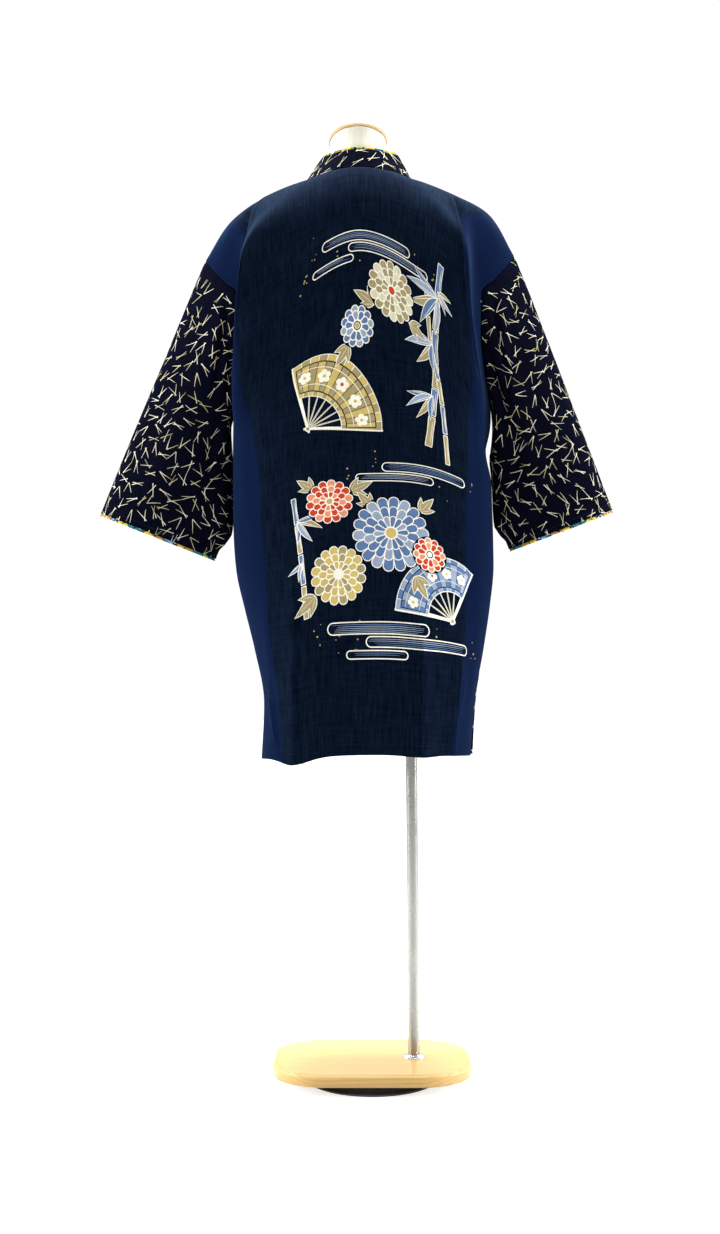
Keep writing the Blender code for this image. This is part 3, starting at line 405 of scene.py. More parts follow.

# %% [markdown]
# Worn cotton is never as smooth as its pattern: it keeps the lines it was folded on and sags softly
# between the places that carry it. Each such line is one row of a table, with its own height,
# width and length, and similar rows go on the sides that are seldom seen. They are soft bells, so
# the cloth stays one even sheet. A dropped fold hangs over a valley: just inside its line the cloth
# stands out by rise, and just outside it sinks by fall.

# %% Tables of folds
# across and drop are where a fold starts, across_end and drop_end where it ends, in metres from the
# middle of the panel and below the shoulder line. A rise below zero is a trough.
Fold = namedtuple("Fold", "across drop across_end drop_end width rise crisp", defaults=(False,))
SOFT_FOLDS = {
    "back": [
        (0.124, 0.095, 0.136, 0.3, 0.0035, 0.0014), (0.114, 0.33, 0.116, 0.64, 0.005, 0.001),
        (0.106, 0.69, 0.11, 1, 0.034, 0.01, True), (0.0985, 0.7, 0.1025, 1, 0.0042, -0.0026),
        (0.014, 0.7, 0.014, 1, 0.052, -0.0045), (-0.0715, 0.76, -0.0755, 1, 0.004, -0.0016),
        (0.163, 0.8, 0.139, 0.915, 0.006, -0.0024), (0.172, 0.83, 0.15, 0.9, 0.004, 0.0018, True),
        (-0.077, 0.74, -0.081, 1, 0.03, 0.007, True), (-0.118, 0.76, -0.118, 1, 0.01, -0.0026),
        (-0.148, 0.76, -0.14, 1, 0.0065, 0.0036, True),
        (-0.16, 0.82, -0.148, 0.87, 0.004, 0.0016, True),
        (0.19, 0.602, -0.19, 0.59, 0.0055, -0.0008), (-0.11, 0.13, -0.14, 0.33, 0.016, 0.002),
        (-0.03, 0.08, -0.01, 0.42, 0.03, -0.0016), (0.06, 0.1, 0.085, 0.38, 0.026, 0.0014),
        (0.02, 0.43, 0.03, 0.9, 0.04, -0.0022), (-0.05, 0.52, -0.062, 0.9, 0.03, 0.0018),
        (0.195, 0.3, 0.175, 0.56, 0.014, -0.0022), (-0.2, 0.33, -0.18, 0.6, 0.015, -0.002),
        (0.165, 0.7, 0.16, 0.9, 0.011, 0.0016), (-0.17, 0.64, -0.168, 0.9, 0.012, -0.0016)],
    "front": [
        (0.12, 0.1, 0.1, 0.42, 0.02, 0.0024), (-0.115, 0.1, -0.095, 0.4, 0.022, 0.0022),
        (0.07, 0.3, 0.03, 0.64, 0.018, -0.002), (0.11, 0.56, 0.108, 0.915, 0.011, 0.0018),
        (-0.118, 0.56, -0.115, 0.915, 0.012, 0.002), (0.19, 0.6, -0.19, 0.595, 0.0055, -0.0008),
        (0.185, 0.33, 0.17, 0.6, 0.015, -0.002), (-0.188, 0.33, -0.172, 0.6, 0.015, -0.0018)],
    # On a sleeve, across is counted round the tube from its top fold, with the back of the arm
    # above zero, and drop from the armhole. The first one is where the coat was kept folded.
    "sleeve_left": [
        (0.024, 0.06, 0.026, 0.425, 0.005, -0.0012), (0.12, 0.02, 0.1, 0.33, 0.02, -0.0022),
        (0.17, 0.12, 0.15, 0.425, 0.022, 0.002), (0.06, 0.2, 0.07, 0.42, 0.024, 0.0016),
        (-0.11, 0.04, -0.1, 0.36, 0.022, 0.0022), (-0.05, 0.15, -0.06, 0.42, 0.024, -0.0018)],
    "sleeve_right": [
        (0.026, 0.08, 0.024, 0.42, 0.006, -0.001), (0.115, 0.06, 0.1, 0.38, 0.021, 0.0024),
        (0.065, 0.12, 0.07, 0.415, 0.022, -0.0018), (0.165, 0.2, 0.155, 0.42, 0.02, -0.002),
        (-0.1, 0.06, -0.11, 0.38, 0.024, -0.0022), (-0.045, 0.2, -0.055, 0.415, 0.024, 0.0018)]}
SOFT_FOLDS = {face: [Fold(*row) for row in rows] for face, rows in SOFT_FOLDS.items()}
# width, rise and fall, then the points of the line as across and drop
DROPPED_FOLDS = {
    "back": [
        (0.006, 0.0024, 0.008, (0.15, 0.004), (0.185, 0.046), (0.204, 0.072), (0.214, 0.1),
         (0.217, 0.15), (0.226, 0.2), (0.239, 0.27)),
        (0.0055, 0.003, 0.011, (-0.137, 0.018), (-0.168, 0.056), (-0.186, 0.092), (-0.197, 0.135),
         (-0.211, 0.172), (-0.222, 0.225), (-0.231, 0.3))],
    "front": [
        (0.007, 0.0014, 0.003, (0.15, 0.006), (0.186, 0.05), (0.205, 0.08), (0.215, 0.12),
         (0.222, 0.19), (0.235, 0.27)),
        (0.0065, 0.0016, 0.0034, (-0.146, 0.01), (-0.18, 0.052), (-0.198, 0.086), (-0.208, 0.13),
         (-0.217, 0.2), (-0.23, 0.27))],
    "sleeve_left": [
        (0.0085, 0.0024, 0.013, (0.085, 0.02), (0.128, 0.068), (0.165, 0.112), (0.19, 0.17)),
        (0.0042, 0.001, 0.0022, (0.024, 0.02), (0.054, 0.09), (0.068, 0.135), (0.084, 0.2)),
        (0.008, 0.0016, 0.005, (-0.08, 0.02), (-0.12, 0.07), (-0.16, 0.13))],
    "sleeve_right": [
        (0.003, 0, 0.013, (0.062, 0.004), (0.085, 0.04), (0.118, 0.074), (0.16, 0.09),
         (0.19, 0.112), (0.192, 0.15), (0.19, 0.19)),
        (0.0075, 0.003, 0.013, (0.05, 0.001), (0.078, 0.036), (0.116, 0.072), (0.15, 0.092),
         (0.178, 0.112), (0.19, 0.15)),
        (0.008, 0.0016, 0.005, (-0.08, 0.02), (-0.125, 0.08), (-0.165, 0.14))]}
FOLD_STARTS, FOLD_FADES = 0.12, 0.30      # shares of a fold's length
CRISP_TIP = 0.08          # how far a crisp fold is rounded, as a share of its width
DROP_FADE_IN, DROP_FADE_OUT, DROP_PARTS = 0.18, 0.35, 0.9
print(sum(map(len, SOFT_FOLDS.values())), "soft folds")

# %% [markdown]
# The tables are read at every point of the flat cloth, and the heights are added up. Sewn edges
# also roll in where the stitches pull them, which draws every seam as a fine groove, and the hem
# stitches press a shallow line into the cloth.

# %% Heights on the flat cloth
SLIT_PULL = 0.0045        # the right slit stands open, which bares the end of the band
SWELL, SWELL_DROP, SWELL_RUN, SWELL_WIDTH = 0.0055, 0.447, 0.034, 0.050
SEAM_ROLL, SEAM_ROLL_WIDTH = 0.0009, 0.0020
HEM_STITCH_UP, CUFF_STITCH_UP, HEM_DENT, HEM_DENT_WIDTH = 0.015, 0.010, 0.0004, 0.0016


def soft_folds(face, across, drop):
    """Height of the soft folds at points of a flat panel."""
    height = np.zeros(np.broadcast(across, drop).shape)
    for fold in SOFT_FOLDS[face]:
        run = np.array([fold.across_end - fold.across, fold.drop_end - fold.drop])
        length = np.hypot(*run)
        along = ((across - fold.across) * run[0] + (drop - fold.drop) * run[1]) / length**2
        aside = ((across - fold.across) * run[1] - (drop - fold.drop) * run[0]) / length
        ends = (smooth_step((along + FOLD_STARTS) / FOLD_FADES)
                * smooth_step((1.0 + FOLD_STARTS - along) / FOLD_FADES))
        away = np.abs(aside / fold.width)
        height = height + fold.rise * ends * np.exp(
            -np.sqrt(away**2 + CRISP_TIP**2) if fold.crisp else -away**2)
    return height


def dropped_folds(face, across, drop):
    """Height of the dropped folds at points of a flat panel."""
    height = np.zeros(np.broadcast(across, drop).shape)
    for width, rise, fall, *line in DROPPED_FOLDS[face]:
        places, drops = np.array(line).T
        slope = np.gradient(places, drops)
        read = through(drops, np.stack([places, slope], axis=1), drop.ravel())
        place, tilt = read.T.reshape(2, *drop.shape)
        beyond = (across - place) * np.sign(places[0]) / np.sqrt(1.0 + tilt**2) / width
        ends = (smooth_step((drop - drops[0]) / (DROP_FADE_IN * np.ptp(drops)))
                * smooth_step((drops[-1] - drop) / (DROP_FADE_OUT * np.ptp(drops))))
        height = height + ends * (rise * bell(beyond + DROP_PARTS, 1.0)
                                  - fall * bell(beyond - DROP_PARTS, 1.0))
    return height


def rolled_in(distance):
    """How far a sewn edge rolls in, at a distance from it."""
    return SEAM_ROLL * bell(distance, SEAM_ROLL_WIDTH)


def body_rise(face, across, drop, place, half, mirror=1.0):
    """Height of all that both the back and the fronts have: folds, rolled edges, the hem's dent,
    and the swell of the right side seam where the sleeve's underarm rests against it."""
    to_side = (1.0 - np.abs(place) if face == "back" else 1.0 - place) * half
    to_slit = smooth_step((COAT_DROP - SLIT_LENGTH - drop) / SLIT_FADE)
    swell = (SWELL * (place * mirror < 0) * bell(drop - SWELL_DROP, SWELL_RUN)
             * bell(to_side, SWELL_WIDTH))
    dent = HEM_DENT * bell(drop - (COAT_DROP - HEM_STITCH_UP), HEM_DENT_WIDTH)
    return (soft_folds(face, across * mirror, drop) + dropped_folds(face, across * mirror, drop)
            + swell - dent - rolled_in(to_side) * to_slit - rolled_in(drop))


def back_surface(across, drop):
    """Points of the hanging back, from distances on its flat panel."""
    half = half_run("back", drop)
    place = across / half
    to_neck = np.hypot(across / NECK_HALF_WIDTH, drop / NECK_BACK_DEPTH) - 1.0
    rise = (body_rise("back", across, drop, place, half) + crease_rise(across, drop)
            - rolled_in(np.maximum(to_neck, 0.0) * NECK_BACK_DEPTH))
    point = body_point("back", place, drop)
    point = point + body_outward("back", place, drop) * rise[..., None]
    point[..., 2] -= hem_dip(across, drop)
    return leant(point)


def hanging_front(side):
    """A function that hangs flat points, counted to that front's own side."""
    def surface(across, drop):
        half = half_run("front", drop)
        place = across / half
        to_band = (place - front_edge(drop.ravel()).reshape(drop.shape)) * half
        rise = (body_rise("front", across, drop, place, half, SIDES[side])
                - rolled_in(np.maximum(to_band, 0.0)))
        outward = body_outward("front", place * SIDES[side], drop)
        return leant(front_surface(side, place, drop) + outward * rise[..., None])
    return surface


middle_of_hem = back_surface(np.zeros(1), np.array([COAT_DROP]))[0]
print("middle of the hem at", middle_of_hem.round(3))

# %% [markdown]
# Printed cloth could carry its pattern as a picture on a plain mesh, but a picture blurs close up.
# Here the print is let into the cloth like marquetry instead: the panel is laid flat, the outline
# of every printed shape is drawn on it, and one triangulation joins outline, shapes and an even net
# of points. Each triangle knows which shape it lies in, so it takes that ink, and then all points
# move to the hanging surface together. The print bends with every fold and stays sharp at any
# distance.

# %% Flat panels with the print let in
INKS = {
    "cream": (0.76, 0.735, 0.62), "straw": (0.56, 0.53, 0.36), "khaki": (0.3, 0.245, 0.12),
    "ochre": (0.5, 0.38, 0.12), "steel_blue": (0.085, 0.15, 0.29), "mist_blue": (0.24, 0.3, 0.4),
    "red_orange": (0.48, 0.045, 0.02), "pale_red": (0.62, 0.24, 0.13),
    "night": (0.003, 0.005, 0.015), "gold": (0.42, 0.32, 0.11)}
LONGEST_EDGE = 0.006


def counter_clockwise(points):
    """The corners of a flat shape, in the order that the triangulation fills from the inside. Long
    edges are divided, so that they bend with the cloth."""
    corners = np.array(points)
    x, y = corners.T
    if np.sum(x * np.roll(y, -1) - np.roll(x, -1) * y) < 0:
        corners = corners[::-1]
    divided = []
    for one, two in zip(corners, np.roll(corners, -1, axis=0)):
        parts = max(1, math.ceil(np.linalg.norm(two - one) / LONGEST_EDGE))
        divided += [tuple(one + (two - one) * k / parts) for k in range(parts)]
    return divided


def flat_panel(outline, net, shapes):
    """Triangulates a flat panel with its shapes of (ink, points), the later ones on top. Returns
    its points, its triangles and for each triangle the ink it takes, or None."""
    points, faces = [], []
    for corners in (outline, *[corners for _, corners in shapes]):
        first = len(points)
        points += counter_clockwise(corners)
        faces.append(list(range(first, len(points))))
    points += [tuple(p) for p in net]
    made = delaunay_2d_cdt([Vector(p) for p in points], [], faces, 0, 1e-5)
    flat, triangles, sources = made[0], made[2], made[5]
    kept = [(tri, max(source)) for tri, source in zip(triangles, sources) if 0 in source]
    inks = [shapes[top - 1][0] if top else None for _, top in kept]
    return np.array([tuple(p) for p in flat]), [tri for tri, _ in kept], inks


def add_piece(name, mesh, materials):
    piece = bpy.data.objects.new(name, mesh)
    bpy.context.scene.collection.objects.link(piece)
    for material in materials:
        mesh.materials.append(material)
    return piece


def hang_panel(name, panel, surface, inside, materials, wall, merged=False):
    """A printed panel on its surface, facing away from inside, with its wall. Its UV map is the
    flat cloth in metres, and the colour attribute print holds the ink, with alpha 0 where the
    cloth is bare. merged joins edges that meet."""
    flat, triangles, inks = panel
    used = sorted({i for tri in triangles for i in tri})
    renumber = {old: new for new, old in enumerate(used)}
    triangles = [[renumber[i] for i in tri] for tri in triangles]
    flat = flat[used]
    mesh = bpy.data.meshes.new(name)
    mesh.from_pydata(surface(flat[:, 0], flat[:, 1]).tolist(), [], triangles)
    mesh.uv_layers.new(name="flat").data.foreach_set("uv", flat[np.ravel(triangles)].ravel())
    prints = mesh.color_attributes.new("print", "FLOAT_COLOR", "CORNER")
    colours = [(*INKS[ink], 1.0) if ink else (0.0, 0.0, 0.0, 0.0) for ink in inks]
    prints.data.foreach_set("color", np.repeat(colours, 3, axis=0).ravel())
    if merged:
        work = bmesh.new()
        work.from_mesh(mesh)
        bmesh.ops.remove_doubles(work, verts=work.verts, dist=0.00002)
        work.to_mesh(mesh)
        work.free()
    return walled(name, mesh, inside, materials, wall)


def walled(name, mesh, inside, materials, wall):
    """Turns a surface to face away from inside and gives it its thickness there; the inner face
    has the second material."""
    mesh.shade_smooth()
    inside = Vector(inside)
    if sum((face.center - inside).dot(face.normal) * face.area for face in mesh.polygons) < 0:
        mesh.flip_normals()
    piece = add_piece(name, mesh, materials)
    solid = piece.modifiers.new("wall", "SOLIDIFY")
    solid.thickness, solid.offset = wall, -1.0
    solid.material_offset, solid.material_offset_rim = 1, 0
    return piece


print(len(INKS), "inks")

# %% [markdown]
# The net of points is what the cloth bends with. It is even over the flat parts, closer round the
# hanging folds, and has extra rows along every sewn edge and stitch line, where the surface rolls.

# %% Nets for the body panels
EDGE_ROWS = np.array([0.0010, 0.0022, 0.0040])
NET_STEP = 0.0062
FIRST_ROW = 0.0085        # where the even net begins, inside the rows along an edge
FOLD_STEP = 0.0045
CRISP_NET = (-0.40, -0.14, 0.0, 0.14, 0.40)             # in widths of the fold
DROPPED_NET = (-1.7, -1.0, -0.4, 0.0, 0.4, 0.9, 1.4, 2.0)
UPPER_END = 0.36          # the net is closer above this drop


def drops_down():
    """Rows of a body panel, closer at the shoulder, the fold and the hem."""
    upper = np.arange(FIRST_ROW, UPPER_END, NET_STEP * 0.8)
    lower = np.arange(UPPER_END, COAT_DROP - 0.022, NET_STEP * 1.15)
    stitch_line = COAT_DROP - HEM_STITCH_UP + np.array([-0.0040, -0.0016, 0.0, 0.0016, 0.0040])
    return np.concatenate([EDGE_ROWS, upper, lower, stitch_line, COAT_DROP - EDGE_ROWS])


def fold_net(face):
    """Points close beside the crisp and the dropped folds of a face, which keep them sharp."""
    lines = [(fold.width, CRISP_NET, fold[:2], fold[2:4])
             for fold in SOFT_FOLDS[face] if fold.crisp]
    lines += [(width, DROPPED_NET, *line) for width, _, _, *line in DROPPED_FOLDS[face]]
    net = []
    for width, offsets, *line in lines:
        line = np.array(line)
        run = run_lengths(line)
        steps = np.arange(0.0, run[-1], FOLD_STEP)
        points = np.stack([np.interp(steps, run, column) for column in line.T])
        slope = np.gradient(points, axis=1)
        slope /= np.linalg.norm(slope, axis=0)
        for offset in offsets:
            net += zip(*(points + offset * width * slope[::-1] * [[1.0], [-1.0]]))
    return net


def places_across(face, side, drop, start, end):
    """Places of a row's points from start to end, closer where the fold and the valley hang."""
    fold, valley = (np.interp(drop, FINE_DROPS, FACES[face, side][1][:, g]) for g in (1, 2))
    near, far = max(fold - 0.07, start + 0.02), min(valley + 0.05, end - 0.02)
    fine = NET_STEP * (0.55 if drop < 0.40 else 1.0)
    row = []
    for a, b, step in ((start, near, NET_STEP), (near, far, fine), (far, end, NET_STEP)):
        count = max(2, int(round((b - a) * half_run(face, drop) / step)))
        row += [*np.linspace(a, b, count + 1)[1:]]
    return row[:-1]


def net_row(face, side, drop):
    """One row of a half panel's net, from the middle, the neckline or the band to the side."""
    half = float(half_run(face, drop))
    end = 1.0 - float(seam_inset(face, drop))
    if face == "back":
        start, clear = math.sqrt(max(0.0, 1.0 - (drop / NECK_BACK_DEPTH) ** 2)), 0.004
        start *= NECK_HALF_WIDTH / half
    else:
        start, clear = float(front_edge(drop)[0]) + SEAM_GAP / 2 / half, 0.010
    places = [*places_across(face, side, drop, start + clear, end - 0.004),
              *(end - EDGE_ROWS / half)]
    if face == "front" or start > 0:
        places += [*(start + EDGE_ROWS / half)]
    elif side == "left":
        places.append(0.0)
    return [(place * half, drop) for place in places]


back_net = fold_net("back") + [(u * SIDES[side], drop) for down in drops_down() for side in SIDES
                               for u, drop in net_row("back", side, down)]
front_nets = {side: [(u * mirror, drop) for u, drop in fold_net("front")]
              + [point for down in drops_down() for point in net_row("front", side, down)]
              for side, mirror in SIDES.items()}
print(len(back_net), "points in the back's net")

# %% [markdown]
# The outlines are the cut edges. The back's runs down the left side, along the hem, up the right
# side and over the shoulders round the neck. A front's runs down its side, along the hem and up
# beside the band. The right side slit stands open a little further than the left one.

# %% Outlines of the body panels
SIDE_DROPS = np.concatenate([np.linspace(SEAM_GAP / 2, UNDERARM_DROP, 70)[:-1],
                             np.linspace(UNDERARM_DROP, COAT_DROP, 120)])
SLIT_PULLS = SLIT_PULL * smooth_step((SIDE_DROPS - COAT_DROP + SLIT_LENGTH - 0.01) / 0.04)


def level(start, end, count, drop):
    """Points along a level edge, without its ends."""
    return [(across, drop) for across in np.linspace(start, end, count)[1:-1]]


def side_edge(face):
    return (1.0 - seam_inset(face, SIDE_DROPS)) * half_run(face, SIDE_DROPS)


def back_outline():
    side = side_edge("back")
    right = SLIT_PULLS - side
    turns = np.linspace(math.pi / 2, -math.pi / 2, 61)[::-1]
    neck = zip(NECK_HALF_WIDTH * np.sin(turns), NECK_BACK_DEPTH * np.cos(turns) + SEAM_GAP / 2)
    shoulder = level(side[0], NECK_HALF_WIDTH, 50, SEAM_GAP / 2)
    return [*zip(side, SIDE_DROPS), *level(side[-1], right[-1], 110, COAT_DROP),
            *zip(right[::-1], SIDE_DROPS[::-1]), *[(-u, drop) for u, drop in shoulder], *neck,
            *shoulder[::-1]]


def front_outline(side_name):
    side = side_edge("front") - SLIT_PULLS * (side_name == "right")
    band = front_edge(SIDE_DROPS) * half_run("front", SIDE_DROPS) + SEAM_GAP / 2
    return [*zip(side, SIDE_DROPS), *level(side[-1], band[-1], 90, COAT_DROP),
            *zip(band[::-1], SIDE_DROPS[::-1]), *level(side[0], band[0], 50, SEAM_GAP / 2)[::-1]]


print(len(back_outline()), "points round the back")

# %% [markdown]
# A sleeve is one width of cloth folded over and sewn along its underarm. It starts as the armhole
# and settles into a plain oval that hangs from the top fold to the underarm. Sections at a few
# shares of its length set that oval, and two troughs on each side are the large sags between them.

# %% Sleeve shape
AROUND = np.concatenate([ARMHOLE_SHARES, 2.0 - ARMHOLE_SHARES[-2:0:-1]]) / 2
# share of the length, top x, top z, underarm x, underarm z, half thickness, y
ARMHOLE_SECTION = (0, 0.245, 1.297, 0.206, 1.046, 0.052, 0)
SLEEVES = {
    "left": np.array([ARMHOLE_SECTION,
                      (0.12, 0.266, 1.25, 0.2125, 1.018, 0.053, -0.002),
                      (0.35, 0.306, 1.158, 0.21, 0.965, 0.053, -0.006),
                      (0.7, 0.368, 1.018, 0.2135, 0.888, 0.055, -0.01),
                      (1, 0.4175, 0.902, 0.236, 0.827, 0.058, -0.012)]),
    "right": np.array([ARMHOLE_SECTION,
                       (0.12, 0.264, 1.249, 0.2115, 1.018, 0.053, -0.002),
                       (0.35, 0.299, 1.156, 0.2045, 0.965, 0.053, -0.006),
                       (0.7, 0.351, 1.015, 0.209, 0.893, 0.055, -0.01),
                       (1, 0.395, 0.895, 0.23, 0.835, 0.058, -0.012)])}
SLEEVE_LENGTHS = {side: run_lengths(rows[:, 1:3])[-1] for side, rows in SLEEVES.items()}
# place round the sleeve, width, depth, and the shares of its length at which it starts and ends
TROUGHS = {"left": [(0.36, 0.035, 0.007, 0.02, 0.75), (0.63, 0.045, 0.009, 0.02, 0.7)],
           "right": [(0.35, 0.04, 0.014, 0, 0.8), (0.66, 0.045, 0.008, 0.02, 0.7)]}
TROUGH_FADE_IN, TROUGH_FADE_OUT = 0.15, 0.30


def sleeve_tube(side, share):
    """A plain oval section of a sleeve, from its top fold down the back to the underarm and up."""
    rows = SLEEVES[side]
    tx, tz, ux, uz, thick, y = through(rows[:, 0], rows[:, 1:], share)[0]
    turns = np.linspace(0.0, 2 * math.pi, 361)
    width = math.hypot(tx - ux, tz - uz) / 2
    run = run_lengths(np.stack([width * np.cos(turns), thick * np.sin(turns)], axis=1))
    turn = np.interp(AROUND * run[-1], run, turns)
    out = (np.cos(turn) + 1) / 2
    return np.stack([ux + (tx - ux) * out, y + thick * np.sin(turn), uz + (tz - uz) * out], axis=1)


def sleeve_loop(side, share):
    """A section of a sleeve, which is the armhole at its start and turns into the plain oval."""
    mirror = SIDES[side]
    armhole = np.concatenate([body_point("back", mirror, ARMHOLE_DROPS),
                              body_point("front", mirror, ARMHOLE_DROPS[-2:0:-1])])
    armhole = armhole * (mirror, 1, 1) + (SEAM_GAP / 2, 0.0, 0.0)
    fade = 1.0 - smooth_step(share / SLEEVE_SETTLES)
    return sleeve_tube(side, share) + fade * (armhole - sleeve_tube(side, 0.0))


def sleeve_points(side, first, last, rows):
    """Rings of a sleeve between two shares of its length."""
    shares = np.linspace(first, last, rows)
    loops = np.array([sleeve_loop(side, share) for share in shares])
    depths = 0.0
    for place, width, depth, start, end in TROUGHS[side]:
        fade = (smooth_step((shares - start) / TROUGH_FADE_IN)
                * smooth_step((end - shares) / TROUGH_FADE_OUT))
        depths = depths + depth * fade[:, None] * bell(AROUND - place, width)
    outward = outward_normals(loops, loops.mean(axis=1, keepdims=True), around=True)
    return (loops - outward * depths[..., None]) * (SIDES[side], 1, 1)


print("sleeves", [round(length, 3) for length in SLEEVE_LENGTHS.values()], "m long")

# %% [markdown]
# Laid flat, a sleeve is a shape nearly square. It is printed flat as the other panels are, and then
# wrapped round the hanging tube, where its two long edges meet under the arm and are merged into
# one seam. Since the tube narrows and leans, each section has its own reach and direction on the
# flat cloth, and the way back from flat to hanging is found by halving.

# %% The sleeve's flat cut
SLEEVE_ROWS = 90
ROW_SHARES = np.linspace(0.0, 1.0, SLEEVE_ROWS)


def sleeve_grid(side):
    """Points of a sleeve by row from armhole to cuff and round from underarm to underarm."""
    grid = sleeve_points(side, SLEEVE_START_GAP / SLEEVE_LENGTHS[side], 1.0, SLEEVE_ROWS)
    top = len(AROUND) // 2
    return np.concatenate([grid[:, top:], grid[:, :top + 1]], axis=1)


def sleeve_cut(side, grid):
    """For shares of its length: how far down the top fold each section starts, how far round it
    reaches, and the two parts of its direction on the flat cloth."""
    rows = SLEEVES[side]
    places = through(rows[:, 0], rows[:, 1:5], ROW_SHARES)
    top, under = places[:, :2], places[:, 2:]
    lean = np.sum(unit(np.gradient(top, axis=0)) * unit(under - top), axis=1)
    around = np.linalg.norm(np.diff(grid, axis=1), axis=2).sum(axis=1)
    return run_lengths(top), around / 2, np.sqrt(1.0 - lean**2), lean


def read_cut(cut, share):
    return (np.interp(share, ROW_SHARES, line) for line in cut)


def on_cut(cut, share, away):
    """Flat place of a point at a share of the length and a distance round from the top fold."""
    down, _, out, lean = read_cut(cut, share)
    return np.stack([away * out, down + np.abs(away) * lean], axis=-1)


def off_cut(cut, across, drop):
    """Share of the length and distance round for flat places."""
    low, high = np.zeros(len(across)), np.ones(len(across))
    for _ in range(30):
        middle = (low + high) / 2
        down, _, out, lean = read_cut(cut, middle)
        beyond = (drop - down) * out > np.abs(across) * lean
        low, high = np.where(beyond, middle, low), np.where(beyond, high, middle)
    down, _, out, lean = read_cut(cut, low)
    return low, across * out + np.sign(across) * (drop - down) * lean


sleeve_grids = {side: sleeve_grid(side) for side in SIDES}
sleeve_cuts = {side: sleeve_cut(side, grid) for side, grid in sleeve_grids.items()}
print("cuff round", round(2 * sleeve_cuts["left"][1][-1], 3), "m")

# %% [markdown]
# The sleeve's surface adds its folds, rolled seams and cuff stitches, as on the body. The underarm
# of a wide sleeve also bags towards the body between the armhole and the cuff, more on one side
# than on the other.

# %% Sleeve surface, outline and net
BAG_SHARES = (0, 0.1, 0.2, 0.3, 0.4, 0.5, 0.6, 0.7, 0.8, 0.88, 0.93, 1)
UNDERARM_BAG = {"left": (0, 0.001, 0.004, 0.0042, 0.0042, 0.0042, 0.0046, 0.0066, 0.0095, 0.005, 0,
                         0),
                "right": (0, 0.001, 0.0045, 0.0044, 0.0022, 0.0008, 0.0016, 0.004, 0.008, 0.0045,
                          0, 0)}
BAG_WIDTH = 0.026


def sleeve_surface(side):
    """A function that wraps flat points round a sleeve."""
    grid, cut, length = sleeve_grids[side], sleeve_cuts[side], SLEEVE_LENGTHS[side]
    normals = outward_normals(grid, grid.mean(axis=(0, 1)))

    def surface(across, drop):
        share, away = off_cut(cut, across, drop)
        row, run = share * (SLEEVE_ROWS - 1), share * length
        half = np.interp(row, np.arange(SLEEVE_ROWS), cut[1])
        column = (0.5 - away / half / 2) * (grid.shape[1] - 1)
        to_seam = half - np.abs(away)
        rise = (soft_folds(f"sleeve_{side}", away, run) + dropped_folds(f"sleeve_{side}", away, run)
                - rolled_in(run) - rolled_in(to_seam)
                + np.interp(share, BAG_SHARES, UNDERARM_BAG[side]) * bell(to_seam, BAG_WIDTH)
                - HEM_DENT * bell((1.0 - share) * length - CUFF_STITCH_UP, HEM_DENT_WIDTH))
        return leant(between(grid, row, column) + between(normals, row, column) * rise[..., None])
    return surface


sleeve_surfaces = {side: sleeve_surface(side) for side in SIDES}


def sleeve_outline(cut):
    """The cut edge of a sleeve: armhole, underarm, cuff and the other underarm."""
    half, rows = cut[1], np.linspace(0.0, 1.0, 80)
    armhole = np.linspace(-half[0], half[0], 100)[1:-1]
    cuff = np.linspace(half[-1], -half[-1], 100)[1:-1]
    under = np.interp(rows, ROW_SHARES, half)
    return [*on_cut(cut, rows, under), *on_cut(cut, np.ones(98), cuff),
            *on_cut(cut, rows[::-1], -under[::-1]), *on_cut(cut, np.zeros(98), armhole)]


def sleeve_net(side, cut):
    """Points inside a sleeve, with rows along its seams and its cuff stitches."""
    length = SLEEVE_LENGTHS[side]
    stitches = length - CUFF_STITCH_UP + np.array([-0.0016, 0.0, 0.0016])
    rows = np.concatenate([EDGE_ROWS, np.arange(FIRST_ROW, length - 0.013, NET_STEP), stitches,
                           length - EDGE_ROWS])
    net = []
    for share in rows / length:
        half = np.interp(share, ROW_SHARES, cut[1])
        inner = np.linspace(FIRST_ROW - half, half - FIRST_ROW, int(2 * half / NET_STEP))
        away = np.concatenate([inner, half - EDGE_ROWS, EDGE_ROWS - half])
        net += [*on_cut(cut, np.full(len(away), share), away)]
    folds = np.array(fold_net(f"sleeve_{side}"))
    folds = folds[(folds[:, 1] > 0) & (folds[:, 1] < length)]
    return [*net, *on_cut(cut, folds[:, 1] / length, folds[:, 0])]


print(len(sleeve_net("left", sleeve_cuts["left"])), "points in the left sleeve's net")

# %% [markdown]
# The collar band is one straight strip, folded double lengthwise. It starts at the right hem,
# climbs the front, stands up round the neck and goes down to the left hem. Ribs across it say where
# it lies, and flat points are placed between the ribs by their distance along it.

# %% Collar band shape
NECK_RIBS = np.linspace(0.0, 1.0, 34)
BAND_DROPS = np.concatenate([np.linspace(0.0015, 0.20, 60), np.linspace(0.2, COAT_DROP, 110)[1:]])
INSIDE_BAND = (0.0, 0.0, 1.2)
BAND_SWELL, BAND_SEAM_ROLL, BAND_FOLD_ROLL = 0.0006, 0.0006, 0.0008
BAND_SEAM_WIDTH, BAND_FOLD_WIDTH = 0.002, 0.0015


